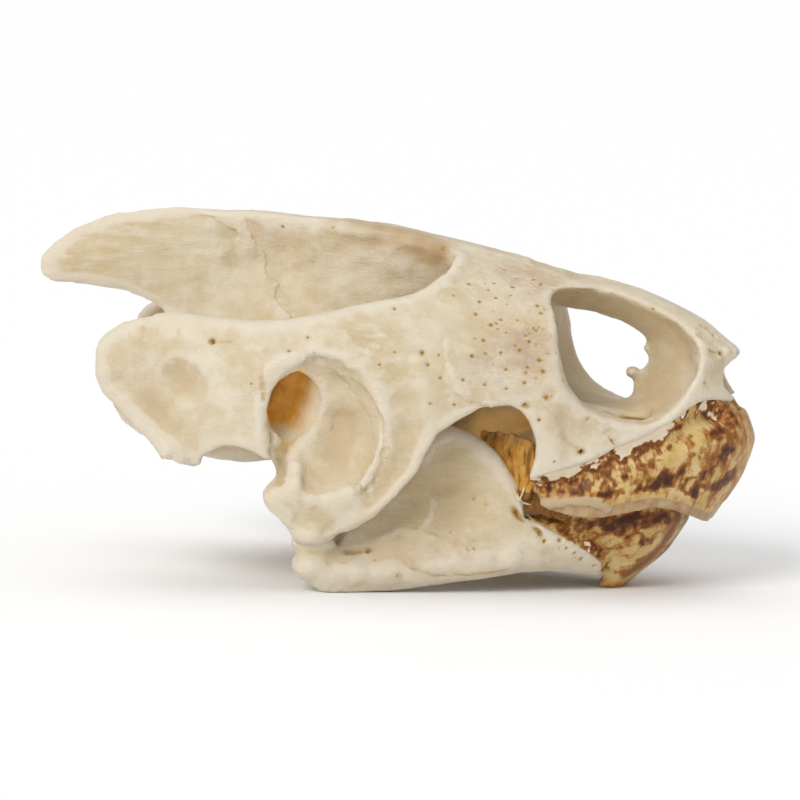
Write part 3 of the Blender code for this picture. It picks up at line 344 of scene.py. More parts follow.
MOUTH_TISSUE = [
    [(10.2, -7.7, 8.6), (11.4, -8.1, 8.6), (13.0, -8.4, 8.3), (15.0, -8.4, 7.8)],
    [(10.3, -7.7, 7.9), (11.5, -8.0, 7.8), (13.1, -8.2, 7.4), (15.0, -8.0, 7.0)],
    [(10.6, -7.6, 7.1), (11.7, -7.8, 6.9), (13.2, -7.7, 6.5), (15.0, -7.4, 6.1)],
]
EAR_TISSUE_THICKNESS, CORNER_TISSUE_THICKNESS, STRAND_THICKNESS = 0.4, 0.3, 0.1
# Whitish strands across the corner of the mouth: half width, then the path
CORNER_STRANDS = [
    (0.15, [(10.5, -8.4, 8.7), (10.8, -8.6, 8.2), (11.2, -8.8, 7.7)]),
    (0.08, [(11.5, -9.0, 8.9), (11.3, -8.9, 8.4), (11.15, -8.8, 7.9)]),
    (0.15, [(10.9, -8.6, 7.8), (11.4, -8.8, 7.6), (12.0, -9.1, 7.5)]),
]

# The horn's edges, as x and z: where the upper sheath ends on the bone, and where it bites
UPPER_RIM = np.array([
    (11.1, 8.5), (13.0, 9.8), (15.1, 10.2), (17.4, 11.1), (18.8, 12.1), (20.6, 12.7), (22.6, 13.7),
    (24.1, 14.5), (25.0, 15.4), (26.3, 15.9), (28.9, 15.5),
])
UPPER_BITE = np.array([
    (11.1, 8.0), (13.1, 7.2), (15.6, 6.6), (17.7, 6.5), (20.8, 7.2), (22.5, 7.3), (24.1, 6.9),
    (25.3, 6.3), (26.4, 5.7), (27.7, 6.6),
])
# The lower sheath's rear edge, as z and x
LOWER_RIM = np.array([
    (0.0, 18.2), (0.9, 18.6), (1.6, 18.7), (2.8, 19.1), (3.6, 17.9), (4.3, 16.7), (5.5, 14.8), (7.2, 12.2),
])
# Brown marks in the upper horn: half width and strength, then the path
UPPER_HORN_MARKS = [
    (0.42, 1.0, [(27.3, -4.0, 15.6), (27.8, -3.7, 15.1), (28.0, -3.8, 14.4), (27.5, -4.6, 14.0),
        (26.8, -5.4, 13.6)]),
    (0.3, 0.7, [(26.6, -5.1, 15.2), (27.2, -4.6, 14.6)]),
    (0.34, 1.0, [(27.8, -4.4, 12.1), (27.3, -4.8, 11.6)]),
    (0.2, 0.9, [(26.7, -5.1, 10.8), (26.1, -5.5, 10.4), (25.5, -5.9, 10.0), (25.0, -6.1, 9.7)]),
    (0.34, 1.0, [(24.5, -5.9, 8.6), (25.4, -5.3, 8.8), (26.3, -4.7, 9.1), (27.3, -3.9, 9.3),
        (28.1, -3.1, 9.8)]),
    (0.42, 1.0, [(21.8, -7.8, 9.4), (22.6, -7.6, 9.8), (23.4, -7.2, 10.0)]),
    (0.3, 1.0, [(16.6, -9.4, 8.5), (18.9, -8.6, 8.4), (20.0, -8.2, 8.4), (20.9, -8.0, 8.8),
        (21.7, -7.8, 9.2)]),
    (0.34, 1.0, [(11.9, -10.1, 9.1), (12.6, -10.0, 9.0), (13.4, -10.0, 8.9), (14.4, -9.8, 8.7),
        (15.2, -9.6, 8.7), (16.0, -9.5, 8.8), (16.6, -9.5, 9.1)]),
    (0.4, 1.0, [(15.7, -9.8, 9.8), (16.4, -9.6, 9.6), (16.8, -9.4, 9.2)]),
    (0.26, 0.8, [(18.3, -9.2, 9.9), (18.6, -9.0, 9.6)]),
    (0.24, 0.8, [(20.0, -8.7, 10.1), (20.1, -8.5, 9.6)]),
    (0.2, 0.7, [(17.7, -9.5, 10.6), (17.8, -9.5, 10.3)]),
    (0.34, 0.9, [(18.9, -9.3, 11.7), (19.3, -9.2, 11.3)]),
    (0.3, 0.8, [(20.4, -8.8, 12.6), (20.9, -8.8, 12.4), (21.6, -8.5, 12.6), (22.2, -8.2, 12.4),
        (23.1, -7.8, 12.6)]),
    (0.26, 0.6, [(24.6, -7.0, 13.4), (25.2, -6.6, 13.7)]),
    (0.16, 0.6, [(20.7, -8.6, 11.4), (20.8, -8.6, 10.6)]),
    (0.16, 0.5, [(21.9, -8.2, 11.6), (21.9, -8.2, 10.9)]),
    (0.16, 0.5, [(25.5, -6.3, 12.5), (25.4, -6.4, 11.7)]),
]
LOWER_HORN_MARKS = [
    (0.46, 1.0, [(12.8, -7.4, 6.7), (13.8, -7.3, 6.1), (15.0, -7.1, 5.6), (16.0, -6.8, 5.2)]),
    (0.42, 1.0, [(16.4, -6.7, 5.7), (17.8, -6.2, 5.9), (19.4, -5.5, 5.7)]),
    (0.46, 1.0, [(20.0, -5.3, 6.1), (21.0, -4.7, 6.3), (22.4, -3.8, 6.2), (22.9, -3.3, 5.8)]),
    (0.26, 0.9, [(17.9, -6.1, 4.3), (18.6, -5.8, 4.9), (19.6, -5.4, 5.1)]),
    (0.13, 0.9, [(16.7, -6.5, 4.3), (17.4, -6.2, 3.9), (17.9, -5.9, 3.6), (18.6, -5.4, 3.2),
        (19.1, -4.9, 2.8), (19.1, -4.5, 2.2), (18.6, -4.4, 1.6)]),
    (0.26, 0.7, [(21.0, -4.6, 4.9), (21.8, -3.5, 3.9)]),
    (0.26, 0.6, [(16.2, -6.8, 5.0), (17.0, -6.5, 4.6)]),
]
# The middle of the chin's reddish front, and the lifted flake along the upper bite's worn strip
LOWER_HORN_RUSSET = [
    (23.8, -2.4, 6.4), (23.7, -2.5, 5.7), (23.3, -2.4, 4.8), (22.4, -2.5, 3.8), (21.6, -2.6, 2.9),
    (20.7, -2.6, 2.1), (19.8, -2.6, 1.3),
]
CHIP = [
    (12.6, -9.6, 7.8), (13.4, -9.5, 7.7), (14.4, -9.4, 7.8), (15.6, -9.3, 8.0), (16.8, -9.1, 8.0),
    (17.8, -8.6, 7.7), (18.3, -8.4, 7.4),
]


def only(thing):
    """Leaves nothing else selected or active."""
    bpy.ops.object.select_all(action="DESELECT")
    thing.select_set(True)
    bpy.context.view_layer.objects.active = thing


def apply_modifier(thing, kind, **settings):
    """Adds a modifier with its settings and applies it."""
    only(thing)
    modifier = thing.modifiers.new(kind.title(), kind)
    for name, value in settings.items():
        setattr(modifier, name, value)
    bpy.ops.object.modifier_apply(modifier=modifier.name)


def copy_of(node, name):
    """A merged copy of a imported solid, as a start for the piece that stands for it."""
    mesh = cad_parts[node].data.copy()
    mesh.name = name
    mesh.materials.clear()
    thing = bpy.data.objects.new(name, mesh)
    bpy.context.scene.collection.objects.link(thing)
    only(thing)
    bpy.ops.object.mode_set(mode="EDIT")
    bpy.ops.mesh.select_all(action="SELECT")
    bpy.ops.mesh.remove_doubles(threshold=1e-6)
    bpy.ops.object.mode_set(mode="OBJECT")
    bpy.ops.mesh.customdata_custom_splitnormals_clear()
    return thing


def refine(thing, grain, rounds):
    """Even fine faces in place of the solid's few large ones, relaxed without shrinking."""
    apply_modifier(thing, "REMESH", mode="VOXEL", voxel_size=grain * MM)
    for _ in range(rounds):
        apply_modifier(thing, "SMOOTH", factor=INWARDS, iterations=2)
        apply_modifier(thing, "SMOOTH", factor=OUTWARDS, iterations=2)


def join_to(thing, *others):
    """Makes the others part of the thing."""
    bpy.ops.object.select_all(action="DESELECT")
    for other in (*others, thing):
        other.select_set(True)
    bpy.context.view_layer.objects.active = thing
    bpy.ops.object.join()


def sheet_through(name, rows, thickness, side=1, cuts=5):
    """A thin plate through rows of points, smoothed between them and given its thickness."""
    rows = np.array([[mirrored_exactly(place, side) for place in row] for row in rows]) * MM
    down, across = rows.shape[:2]
    bpy.ops.object.select_all(action="DESELECT")
    bpy.ops.mesh.primitive_grid_add(x_subdivisions=across - 1, y_subdivisions=down - 1, size=1)
    sheet = bpy.context.active_object
    sheet.name = name
    sheet.data.vertices.foreach_set("co", rows.reshape(-1))
    sheet.data.update()
    apply_modifier(sheet, "SUBSURF", levels=cuts, render_levels=cuts)
    apply_modifier(sheet, "SOLIDIFY", thickness=thickness * MM, offset=0.0)
    only(sheet)
    bpy.ops.object.mode_set(mode="EDIT")
    bpy.ops.mesh.select_all(action="SELECT")
    bpy.ops.mesh.normals_make_consistent(inside=False)
    bpy.ops.object.mode_set(mode="OBJECT")
    return sheet


def mirrored_exactly(place, side):
    """The place on one side of the skull, without the left side's drift."""
    x, y, z = place
    return x, y * side, z


def knob(place, radii):
    """A small rounded lump, to be grown into a bone."""
    bpy.ops.object.select_all(action="DESELECT")
    bpy.ops.mesh.primitive_uv_sphere_add(segments=16, ring_count=10, radius=MM)
    lump = bpy.context.active_object
    bpy.ops.transform.resize(value=radii)
    bpy.ops.transform.translate(value=[value * MM for value in place])
    bpy.ops.object.transform_apply(location=True, rotation=True, scale=True)
    return lump


def soften(thing, share, iterations):
    """Rounds off a part of a surface. The share says how much of the way each vertex goes."""
    before = places_of(thing)
    apply_modifier(thing, "SMOOTH", factor=0.5, iterations=iterations)
    move_to(thing, before + share[:, None] * (places_of(thing) - before))


def thin_out(thing, most):
    """Takes away the faces that show least, down to a number of triangles."""
    triangles = len(thing.data.loops) - 2 * len(thing.data.polygons)
    if triangles > most:
        apply_modifier(thing, "DECIMATE", decimate_type="COLLAPSE", ratio=most / triangles)


def swell(thing, swellings):
    """Gentle unevenness over the whole surface, such as grown bone has."""
    for size, height in swellings:
        clouds = bpy.data.textures.new("swelling", "CLOUDS")
        clouds.noise_scale = size * MM
        clouds.noise_depth = 1
        settings = {"texture": clouds, "texture_coords": "LOCAL", "strength": height * MM, "mid_level": 0.5}
        apply_modifier(thing, "DISPLACE", **settings)


def places_of(thing):
    """The vertices' places in millimetres."""
    flat = np.empty(len(thing.data.vertices) * 3)
    thing.data.vertices.foreach_get("co", flat)
    return flat.reshape(-1, 3) / MM


def normals_of(thing):
    """The vertices' normals."""
    flat = np.empty(len(thing.data.vertices) * 3)
    thing.data.vertex_normals.foreach_get("vector", flat)
    return flat.reshape(-1, 3)


def move_to(thing, places):
    """Puts the vertices at places in millimetres."""
    thing.data.vertices.foreach_set("co", (places * MM).ravel())
    thing.data.update()


def lift(thing, heights):
    """Moves each vertex out of the surface by its height in millimetres."""
    move_to(thing, places_of(thing) + normals_of(thing) * heights[:, None])


def paint(thing, **layers):
    """Keeps numbers for each vertex, for the materials to read. One number alone holds all over."""
    for name, values in layers.items():
        layer = thing.data.attributes.new(name, "FLOAT", "POINT")
        values = np.broadcast_to(values, len(thing.data.vertices))
        layer.data.foreach_set("value", np.ascontiguousarray(values, dtype=np.float32))


def smoothly(values, low, high):
    """0 up to low, 1 from high on, and a smooth rise between them."""
    share = np.clip((values - low) / (high - low), 0.0, 1.0)
    return share * share * (3 - 2 * share)


def unevenness(places, size, stretch=(1, 1, 1)):
    """Smooth noise between about -1 and 1, with bumps of a size in millimetres."""
    scaled = places / (size * np.asarray(stretch, float))
    return np.array([noise.fractal(Vector(place), 0.8, 2.0, 3) for place in scaled])


def nearby(places, path, reach):
    """Which places come near a path, how far they are from it, and which of its points is nearest."""
    path = np.asarray(path)
    low, high = path.min(axis=0) - reach, path.max(axis=0) + reach
    near = np.flatnonzero(((places > low) & (places < high)).all(axis=1))
    if len(near) == 0:
        return near, np.empty(0), near
    gaps = np.linalg.norm(places[near][:, None] - path[None], axis=2)
    nearest = gaps.argmin(axis=1)
    gaps = gaps[np.arange(len(near)), nearest]
    close = gaps < reach
    return near[close], gaps[close], nearest[close]


def surface_of(thing):
    """The piece's faces, to be asked for nearest points and hits, in millimetres."""
    return BVHTree.FromPolygons([Vector(place) for place in places_of(thing)],
                                [face.vertices for face in thing.data.polygons])


def points_between(path, step=POINT_STEP):
    """Points close together along a path."""
    path = np.asarray(path, float)
    line = []
    for start, end in zip(path, path[1:]):
        steps = max(2, int(np.linalg.norm(end - start) / step))
        line += [start + (end - start) * count / steps for count in range(steps)]
    return [*line, path[-1]]


def mirrored(place, side):
    """The place on one side of the skull. The left side is a little off the right one's mirror image."""
    x, y, z = place
    if side > 0:
        return Vector((x, y, z))
    drift = noise.noise_vector(Vector((x, y, z)) * 0.25) * 0.7
    return Vector((x + drift.x, -y, z + drift.z))


def mirrored_path(path, side):
    """The path on one side of the skull."""
    return [mirrored(place, side) for place in path]


def from_ends(line):
    """How many points each point of a line is away from the nearer end."""
    count = np.arange(len(line))
    return np.minimum(count, count[::-1])


class Carving:
    """Marks to be made in a piece, gathered first so that its faces can be made finer under them."""

    def __init__(self, thing):
        self.thing = thing
        self.reliefs = []
        self.marks = []
        self.steps = []
        self.surface = surface_of(thing)

    def drape(self, path, wander):
        """Points close together along a path, on the surface but a little off the way, and its normals."""
        line, normals = [], []
        for point in points_between(path):
            point = Vector(point)
            finer = noise.noise_vector(point * 3.0) * wander * 0.4
            point += noise.noise_vector(point * 0.9) * wander + finer
            place, normal = self.surface.find_nearest(point)[:2]
            line.append(place)
            normals.append(normal)
        return np.array(line), np.array(normals)

    def relief(self, path, half_width, depth, side=1):
        """A broad hollow, or with a negative depth a ridge. Where reliefs meet, they add up."""
        line, normals = self.drape(mirrored_path(path, side), 0.15)
        fade = 0.85 + 0.5 * unevenness(line, 2.5)
        fade = fade * np.clip((from_ends(line) + 2) * POINT_STEP / half_width, 0, 1)
        self.reliefs.append((line, normals, half_width, depth, fade))

    def furrow(self, path, half_width, depth, stain=0.0, side=1, wander=0.12):
        """A narrow rounded furrow that fades in and out."""
        line = self.drape(mirrored_path(path, side), wander)[0]
        fade = np.clip(0.75 + 0.7 * unevenness(line, 1.6), 0.25, 1.0)
        fade = fade * np.clip((from_ends(line) + 1) / 4, 0, 1)
        self.marks.append((line, half_width, depth, stain, fade))

    def hole(self, place, radius, depth, length=0.0, stain=1.0, side=1):
        """A stained pit, drawn out by its length in a direction that its place decides."""
        place = mirrored(place, side)
        lean = 0.9 * noise.noise(place * 1.7)
        half = Vector((0.5 * length, 0, 0.5 * length * lean))
        line = self.drape([place - half, place + half], 0.05)[0]
        taper = 1 - 0.55 * np.abs(np.linspace(-1, 1, len(line))) ** 3
        self.marks.append((line, radius, depth, stain, taper))

    def step(self, path, height, reach, softness, way, stain, side=1):
        """An edge where the surface drops on one side of a path and comes up again further on."""
        line, normals = self.drape(mirrored_path(path, side), 0.28)
        way = np.array((way[0], way[1] * side, way[2]), float)
        self.steps.append((line, normals, height, reach, softness, way / np.linalg.norm(way)))
        self.marks.append((line, 0.11, 0.03, stain, np.clip(0.6 + 0.9 * unevenness(line, 1.2), 0.0, 1.0)))

    def bites(self, path, count, radius, seed, side):
        """Small irregular bites out of an edge."""
        draw = np.random.default_rng(seed)
        line = points_between(mirrored_path(path, side))
        for _ in range(count):
            x, y, z = line[draw.integers(len(line))] + draw.normal(0, 0.15, 3)
            size = radius * draw.uniform(0.6, 1.3)
            bite = self.drape([(x, y, z), (x, y, z + 0.3)], 0.1)[0]
            self.marks.append((bite, size, 0.9 * size, 0.15, np.ones(len(bite))))

    def sharpen(self):
        """Splits the faces around the marks that are finer than the mesh."""
        for limit in FINE_MARKS:
            places = places_of(self.thing)
            chosen = np.zeros(len(places), bool)
            for path, width, _, _, _ in self.marks:
                if width < limit:
                    chosen[nearby(places, path, 1.6 * width + 0.18)[0]] = True
            only(self.thing)
            bpy.ops.object.mode_set(mode="EDIT")
            bpy.ops.mesh.select_mode(type="VERT")
            bpy.ops.mesh.select_all(action="DESELECT")
            bpy.ops.object.mode_set(mode="OBJECT")
            self.thing.data.vertices.foreach_set("select", chosen)
            bpy.ops.object.mode_set(mode="EDIT")
            bpy.ops.mesh.subdivide(number_cuts=1)
            bpy.ops.object.mode_set(mode="OBJECT")

    def carve(self):
        """Moves the surface at the marks, and returns how stained each vertex is by them."""
        places, normals = places_of(self.thing), normals_of(self.thing)
        depths, stains = np.zeros(len(places)), np.zeros(len(places))
        for path, width, depth, stain, fade in self.marks:
            near, gaps, nearest = nearby(places, path, 2.6 * width)
            fall = fade[nearest] * np.exp(-(gaps / width) ** 2)
            depths[near] = np.maximum(depths[near], depth * fall)
            stains[near] = np.maximum(stains[near], stain * fade[nearest] * np.exp(-(gaps / width) ** 3))
        for path, facing, width, depth, fade in self.reliefs:
            near, gaps, nearest = nearby(places, path, 2.6 * width)
            alike = smoothly((normals[near] * facing[nearest]).sum(axis=1), -0.2, 0.5)
            depths[near] += depth * alike * fade[nearest] * np.exp(-(gaps / width) ** 2)
        for path, facing, height, reach, softness, way in self.steps:
            near, gaps, nearest = nearby(places, path, 2.2 * reach)
            across = ((places[near] - path[nearest]) * way).sum(axis=1)
            alike = smoothly((normals[near] * facing[nearest]).sum(axis=1), -0.2, 0.5)
            ends = np.clip(from_ends(path)[nearest] / 5, 0, 1)
            lower = smoothly(across, -softness, softness)
            depths[near] += height * alike * ends * lower * np.exp(-(gaps / reach) ** 2)
        lift(self.thing, -depths)
        return stains


def roughen(thing, patches):
    """Low fibrous bumps in patches on both sides."""
    places = places_of(thing)
    heights = np.zeros(len(places))
    for centre, radius, height, size, stretch in patches:
        for side in RIGHT_AND_LEFT:
            gaps = np.linalg.norm(places - np.array(mirrored(centre, side)), axis=1)
            near = np.flatnonzero(gaps < 1.8 * radius)
            fall = np.exp(-(gaps[near] / radius) ** 4)
            heights[near] += height * fall * unevenness(places[near], size, stretch)
    lift(thing, heights)


def closedness(thing, samples=24, reach=9.0, starts=6000):
    """How closed in each vertex is, from rays cast out of the surface, from 0 to 1."""
    places, normals = places_of(thing), normals_of(thing)
    surface = surface_of(thing)
    chosen = np.arange(0, len(places), max(1, len(places) // starts))
    turns = np.arange(samples) * GOLDEN_ANGLE
    heights = (np.arange(samples) + 0.5) / samples
    spread = np.sqrt(1 - heights ** 2)
    dome = np.stack([spread * np.cos(turns), spread * np.sin(turns), heights], axis=1)
    blocked = np.zeros(len(chosen))
    for row, index in enumerate(chosen):
        normal = Vector(normals[index])
        turn = normal.to_track_quat("Z", "Y").to_matrix()
        start = Vector(places[index]) + normal * 0.25
        hits = 0.0
        for direction in dome:
            distance = surface.ray_cast(start, turn @ Vector(direction), reach)[3]
            if distance is not None:
                hits += 1.0 - 0.5 * distance / reach
        blocked[row] = hits / samples
    return spread_over(places, places[chosen], blocked)


def hollowness(thing, rounds=40):
    """How far each vertex lies below the mean of its surroundings, in millimetres."""
    places = places_of(thing)
    ends = np.empty(len(thing.data.edges) * 2, dtype=np.int32)
    thing.data.edges.foreach_get("vertices", ends)
    start, end = ends.reshape(-1, 2).T
    neighbours = np.bincount(ends, minlength=len(places))[:, None]
    relaxed = places.copy()
    for _ in range(rounds):
        total = [np.bincount(start, relaxed[end, axis], len(places)) for axis in range(3)]
        total = np.add(total, [np.bincount(end, relaxed[start, axis], len(places)) for axis in range(3)]).T
        relaxed = 0.5 * relaxed + 0.5 * total / neighbours
    return ((relaxed - places) * normals_of(thing)).sum(axis=1)


def tree_of(places):
    """The places in a tree that finds the nearest ones."""
    tree = KDTree(len(places))
    for index, place in enumerate(places):
        tree.insert(place, index)
    tree.balance()
    return tree


def spread_over(places, known_places, values, neighbours=4):
    """Values of a few vertices carried over to all of them by distance."""
    tree = tree_of(known_places)
    spread = np.empty(len(places))
    for index, place in enumerate(places):
        found = tree.find_n(place, neighbours)
        weights = [1.0 / (gap + 0.05) for _, _, gap in found]
        spread[index] = sum(w * values[i] for w, (_, i, _) in zip(weights, found)) / sum(weights)
    return spread


def paint_tints(thing, spots):
    """Paints how much of each tint a vertex takes, alike on both sides."""
    places = places_of(thing)
    for tint in TINTS:
        clear = np.ones(len(places))
        for place, radius, strength in spots.get(tint, ()):
            for side in RIGHT_AND_LEFT:
                gaps = np.linalg.norm(places - np.array(mirrored(place, side)), axis=1)
                clear *= 1 - strength * np.exp(-(gaps / radius) ** 2)
        paint(thing, **{tint: 1 - clear})


def stroke_mask(places, strokes, wander=0.0, widening=1.0):
    """How much each place is covered by strokes, on both sides."""
    mask = np.zeros(len(places))
    places = places + wander * np.array([noise.noise_vector(Vector(place) * 1.4) for place in places])
    for half_width, strength, path in strokes:
        half_width = widening * half_width
        for side in RIGHT_AND_LEFT:
            line = np.array(points_between(mirrored_path(path, side)))
            near, gaps, _ = nearby(places, line, 3 * half_width)
            mask[near] = np.maximum(mask[near], strength * np.exp(-(gaps / half_width) ** 2))
    return mask


class Link:
    """An output of a material's node. Arithmetic on it adds Math nodes."""

    def __init__(self, tree, output=None):
        self.tree = tree
        self.output = output

    def node(self, kind, settings=None, inputs=None, output=0):
        """Adds a node: its settings first, then the values or links of its sockets."""
        made = self.tree.nodes.new("ShaderNode" + kind)
        for name, value in (settings or {}).items():
            setattr(made, name, value)
        for name, value in (inputs or {}).items():
            if isinstance(value, Link):
                self.tree.links.new(value.output, made.inputs[name])
            else:
                made.inputs[name].default_value = value
        return Link(self.tree, made.outputs[output])

    def math(self, operation, *values):
        """One step of arithmetic on numbers."""
        return self.node("Math", {"operation": operation}, dict(enumerate(values)))

    def __add__(self, other):
        return self.math("ADD", self, other)

    __radd__ = __add__

    def __sub__(self, other):
        return self.math("SUBTRACT", self, other)

    def __rsub__(self, other):
        return self.math("SUBTRACT", other, self)

    def __mul__(self, other):
        return self.math("MULTIPLY", self, other)

    __rmul__ = __mul__

    def most(self, other):
        """The larger of the two."""
        return self.math("MAXIMUM", self, other)

    def ramp(self, low, high, to_low=0.0, to_high=1.0):
        """Runs smoothly from one value to another while this one goes from low to high."""
        settings = {"interpolation_type": "SMOOTHSTEP"}
        return self.node("MapRange", settings, {0: self, 1: low, 2: high, 3: to_low, 4: to_high})

    def blend(self, start, end):
        """A colour between two others, by this value."""
        colours = [value if isinstance(value, Link) else (*value, 1.0) for value in (start, end)]
        return self.node("Mix", {"data_type": "RGBA"}, {0: self, 6: colours[0], 7: colours[1]}, 2)

    def painted(self, name):
        """What is painted on the piece under a name."""
        return self.node("Attribute", {"attribute_name": name}, output="Fac")

    def noise(self, place, scale, detail=3.0, roughness=0.55, distortion=0.0):
        """A cloudy pattern around one half."""
        inputs = {"Vector": place, "Scale": scale, "Detail": detail, "Roughness": roughness}
        return self.node("TexNoise", None, {**inputs, "Distortion": distortion})

    def stretched(self, place, factors, turn=(0, 0, 0)):
        """The place for a pattern that is drawn out and turned."""
        return self.node("Mapping", None, {"Vector": place, "Scale": factors, "Rotation": turn})


def new_material(name, **constants):
    """A material with one Principled shader, whose even values are set on its own sockets."""
    material = bpy.data.materials.new(name)
    material.use_nodes = True
    tree = material.node_tree
    shader = tree.nodes["Principled BSDF"]
    for socket, value in constants.items():
        shader.inputs[socket.replace("_", " ")].default_value = value
    start = Link(tree)
    place = start.node("TexCoord", output="Object")
    millimetres = start.node("VectorMath", {"operation": "SCALE"}, {0: place, "Scale": 1 / MM})
    return material, shader, start, millimetres


def wire(shader, socket, value):
    """Leads a value or colour to one of the shader's sockets."""
    value.tree.links.new(value.output, shader.inputs[socket])


def layered(colour, *layers):
    """Lays tints over a colour one after the other, each by its share."""
    for share, tint in layers:
        colour = share.blend(colour, tint)
    return colour


def stand_out(shader, height, strength, distance):
    """Lets a pattern stand out of the surface like low relief."""
    inputs = {"Strength": strength, "Distance": distance, "Height": height}
    wire(shader, "Normal", height.node("Bump", None, inputs))


def bone_material(settings):
    """Cleaned bone: ivory with cream and straw drifts, painted shade that warms hollows and closed-in
    places, a painted highlight on ridges, a painted glow where it is closed in, stained pits and a satin
    sheen.
    """
    material, shader, start, place = new_material(
        "cleaned bone", IOR=1.5, Specular_IOR_Level=0.4, Subsurface_Weight=0.12, Subsurface_Scale=0.001,
        Subsurface_Radius=(1.0, 0.6, 0.35), Emission_Strength=1.0
    )
    drift = start.noise(place, 0.16, 4.0).ramp(0.35, 0.65)
    mottle = start.noise(place, 0.7, 6.0, 0.65)
    fibres = start.noise(start.stretched(place, (0.35, 2.4, 1.8), (0, 0.3, 0)), 1.0, 6.0, 0.65)
    patches = start.noise(place, 0.6, 5.0, 0.65)
    hollow = start.painted("hollow") + (mottle - 0.5) * 0.10
    pink = start.painted("pink") * (patches * 0.6 + fibres * 0.4).ramp(0.40, 0.56, 0.25, 1.0)
    closed = start.painted("closed").ramp(0.36, 0.68)
    deep = start.painted("closed").ramp(0.40, 0.65) * start.painted("ochre")
    stain = start.painted("stain")
    cells = {"Vector": place, "Scale": 1.7, "Randomness": 1.0}
    lot = start.node("SeparateColor", None, {0: start.node("TexVoronoi", None, cells, "Color")})
    specks = start.node("TexVoronoi", None, cells).ramp(0.04, 0.16, 1.0, 0.0)
    specks = specks * lot.ramp(0.70, 0.72) * start.painted("pink").most(0.12)
    colour = layered(
        drift.blend(settings.cream, settings.ivory),
        (0.4 * mottle.ramp(0.49, 0.76), settings.warm),
        (0.55 * mottle.ramp(0.54, 0.30), settings.white),
        (start.painted("straw") * fibres.ramp(0.32, 0.66, 0.25, 1.0), settings.straw),
        # Painted shade in hollows and painted highlight on ridges, from the painted hollowness
        (0.8 * hollow.ramp(-0.01, 0.26), settings.warm),
        (0.7 * hollow.ramp(-0.02, -0.16), settings.white),
        (0.85 * pink, settings.pink),
        (0.85 * (start.painted("white") * patches.ramp(0.62, 0.42, 0.2, 1.0)), settings.white),
        # Painted shade: tan in closed-in places and at the tan spots, such as the orbit's ceiling
        (0.9 * closed.most(start.painted("tan")), settings.tan),
        (deep, settings.ochre),
        # Painted shade under the roof's edge
        (start.painted("shade"), settings.shade),
        (stain.ramp(0.0, 0.5), settings.amber),
        (stain.ramp(0.5, 1.0), settings.brown),
        (0.7 * specks, settings.amber),
    )
    # Painted glow: emission in closed-in places and at closed-in tan spots, standing in for light through
    # thin bone; deep ochre walls glow ochre
    glow = start.painted("tan") * start.painted("closed").ramp(0.25, 0.55)
    glow = (0.6 * closed).most(glow).blend((0.0, 0.0, 0.0), settings.tan_glow)
    wire(shader, "Emission Color", deep.blend(glow, settings.ochre_glow))
    wire(shader, "Base Color", colour)
    grain = start.noise(place, 7.0, 4.0, 0.6)
    lines = start.noise(start.stretched(place, (1.0, 5.0, 5.0)), 1.0, 4.0, 0.65)
    height = grain * 0.5 + lines * 0.8 - specks * 1.2 + mottle * 1.6
    stand_out(shader, height, 0.6, 0.00018)
    wire(shader, "Roughness", grain.ramp(0.3, 0.7, 0.40, 0.60))
    return material


def tissue_material(settings):
    """Dried tissue: ochre, brown in its strings and, as painted shade, in its sunk folds and shaded corners,
    cream where it thins out over the bone, and with a painted ochre glow.
    """
    material, shader, start, place = new_material(
        "dried tissue", IOR=1.45, Roughness=0.55, Specular_IOR_Level=0.3, Subsurface_Weight=0.15,
        Subsurface_Scale=0.001, Subsurface_Radius=(1.0, 0.5, 0.2), Emission_Strength=1.0
    )
    strings = start.noise(start.stretched(place, (1.6, 1.4, 0.6), (0, 0.35, 0)), 1.0, 6.0, 0.7, 0.5)
    clouds = start.noise(place, 0.7, 4.0, 0.6)
    # Brown from the strings, and painted shade where the painted darkness is high
    dark = start.painted("dark") + (strings - 0.5) * 2.2
    pale = start.painted("pale") + (clouds - 0.5) * 0.4
    colour = layered(
        clouds.ramp(0.36, 0.64).blend(settings.tissue, settings.tissue_pale),
        (dark.ramp(0.35, 1.1), settings.brown),
        (pale.ramp(0.1, 0.95), settings.cream),
    )
    wire(shader, "Base Color", colour)
    # Painted glow: the ochre parts give off light, though the tissue is no lamp
    glow = (pale + dark * 0.6).ramp(0.1, 0.9)
    wire(shader, "Emission Color", glow.blend(settings.ochre_glow, (0.0, 0.0, 0.0)))
    height = strings * 1.0 + start.noise(place, 4.0, 3.0) * 0.4
    stand_out(shader, height, 0.5, 0.0002)
    return material


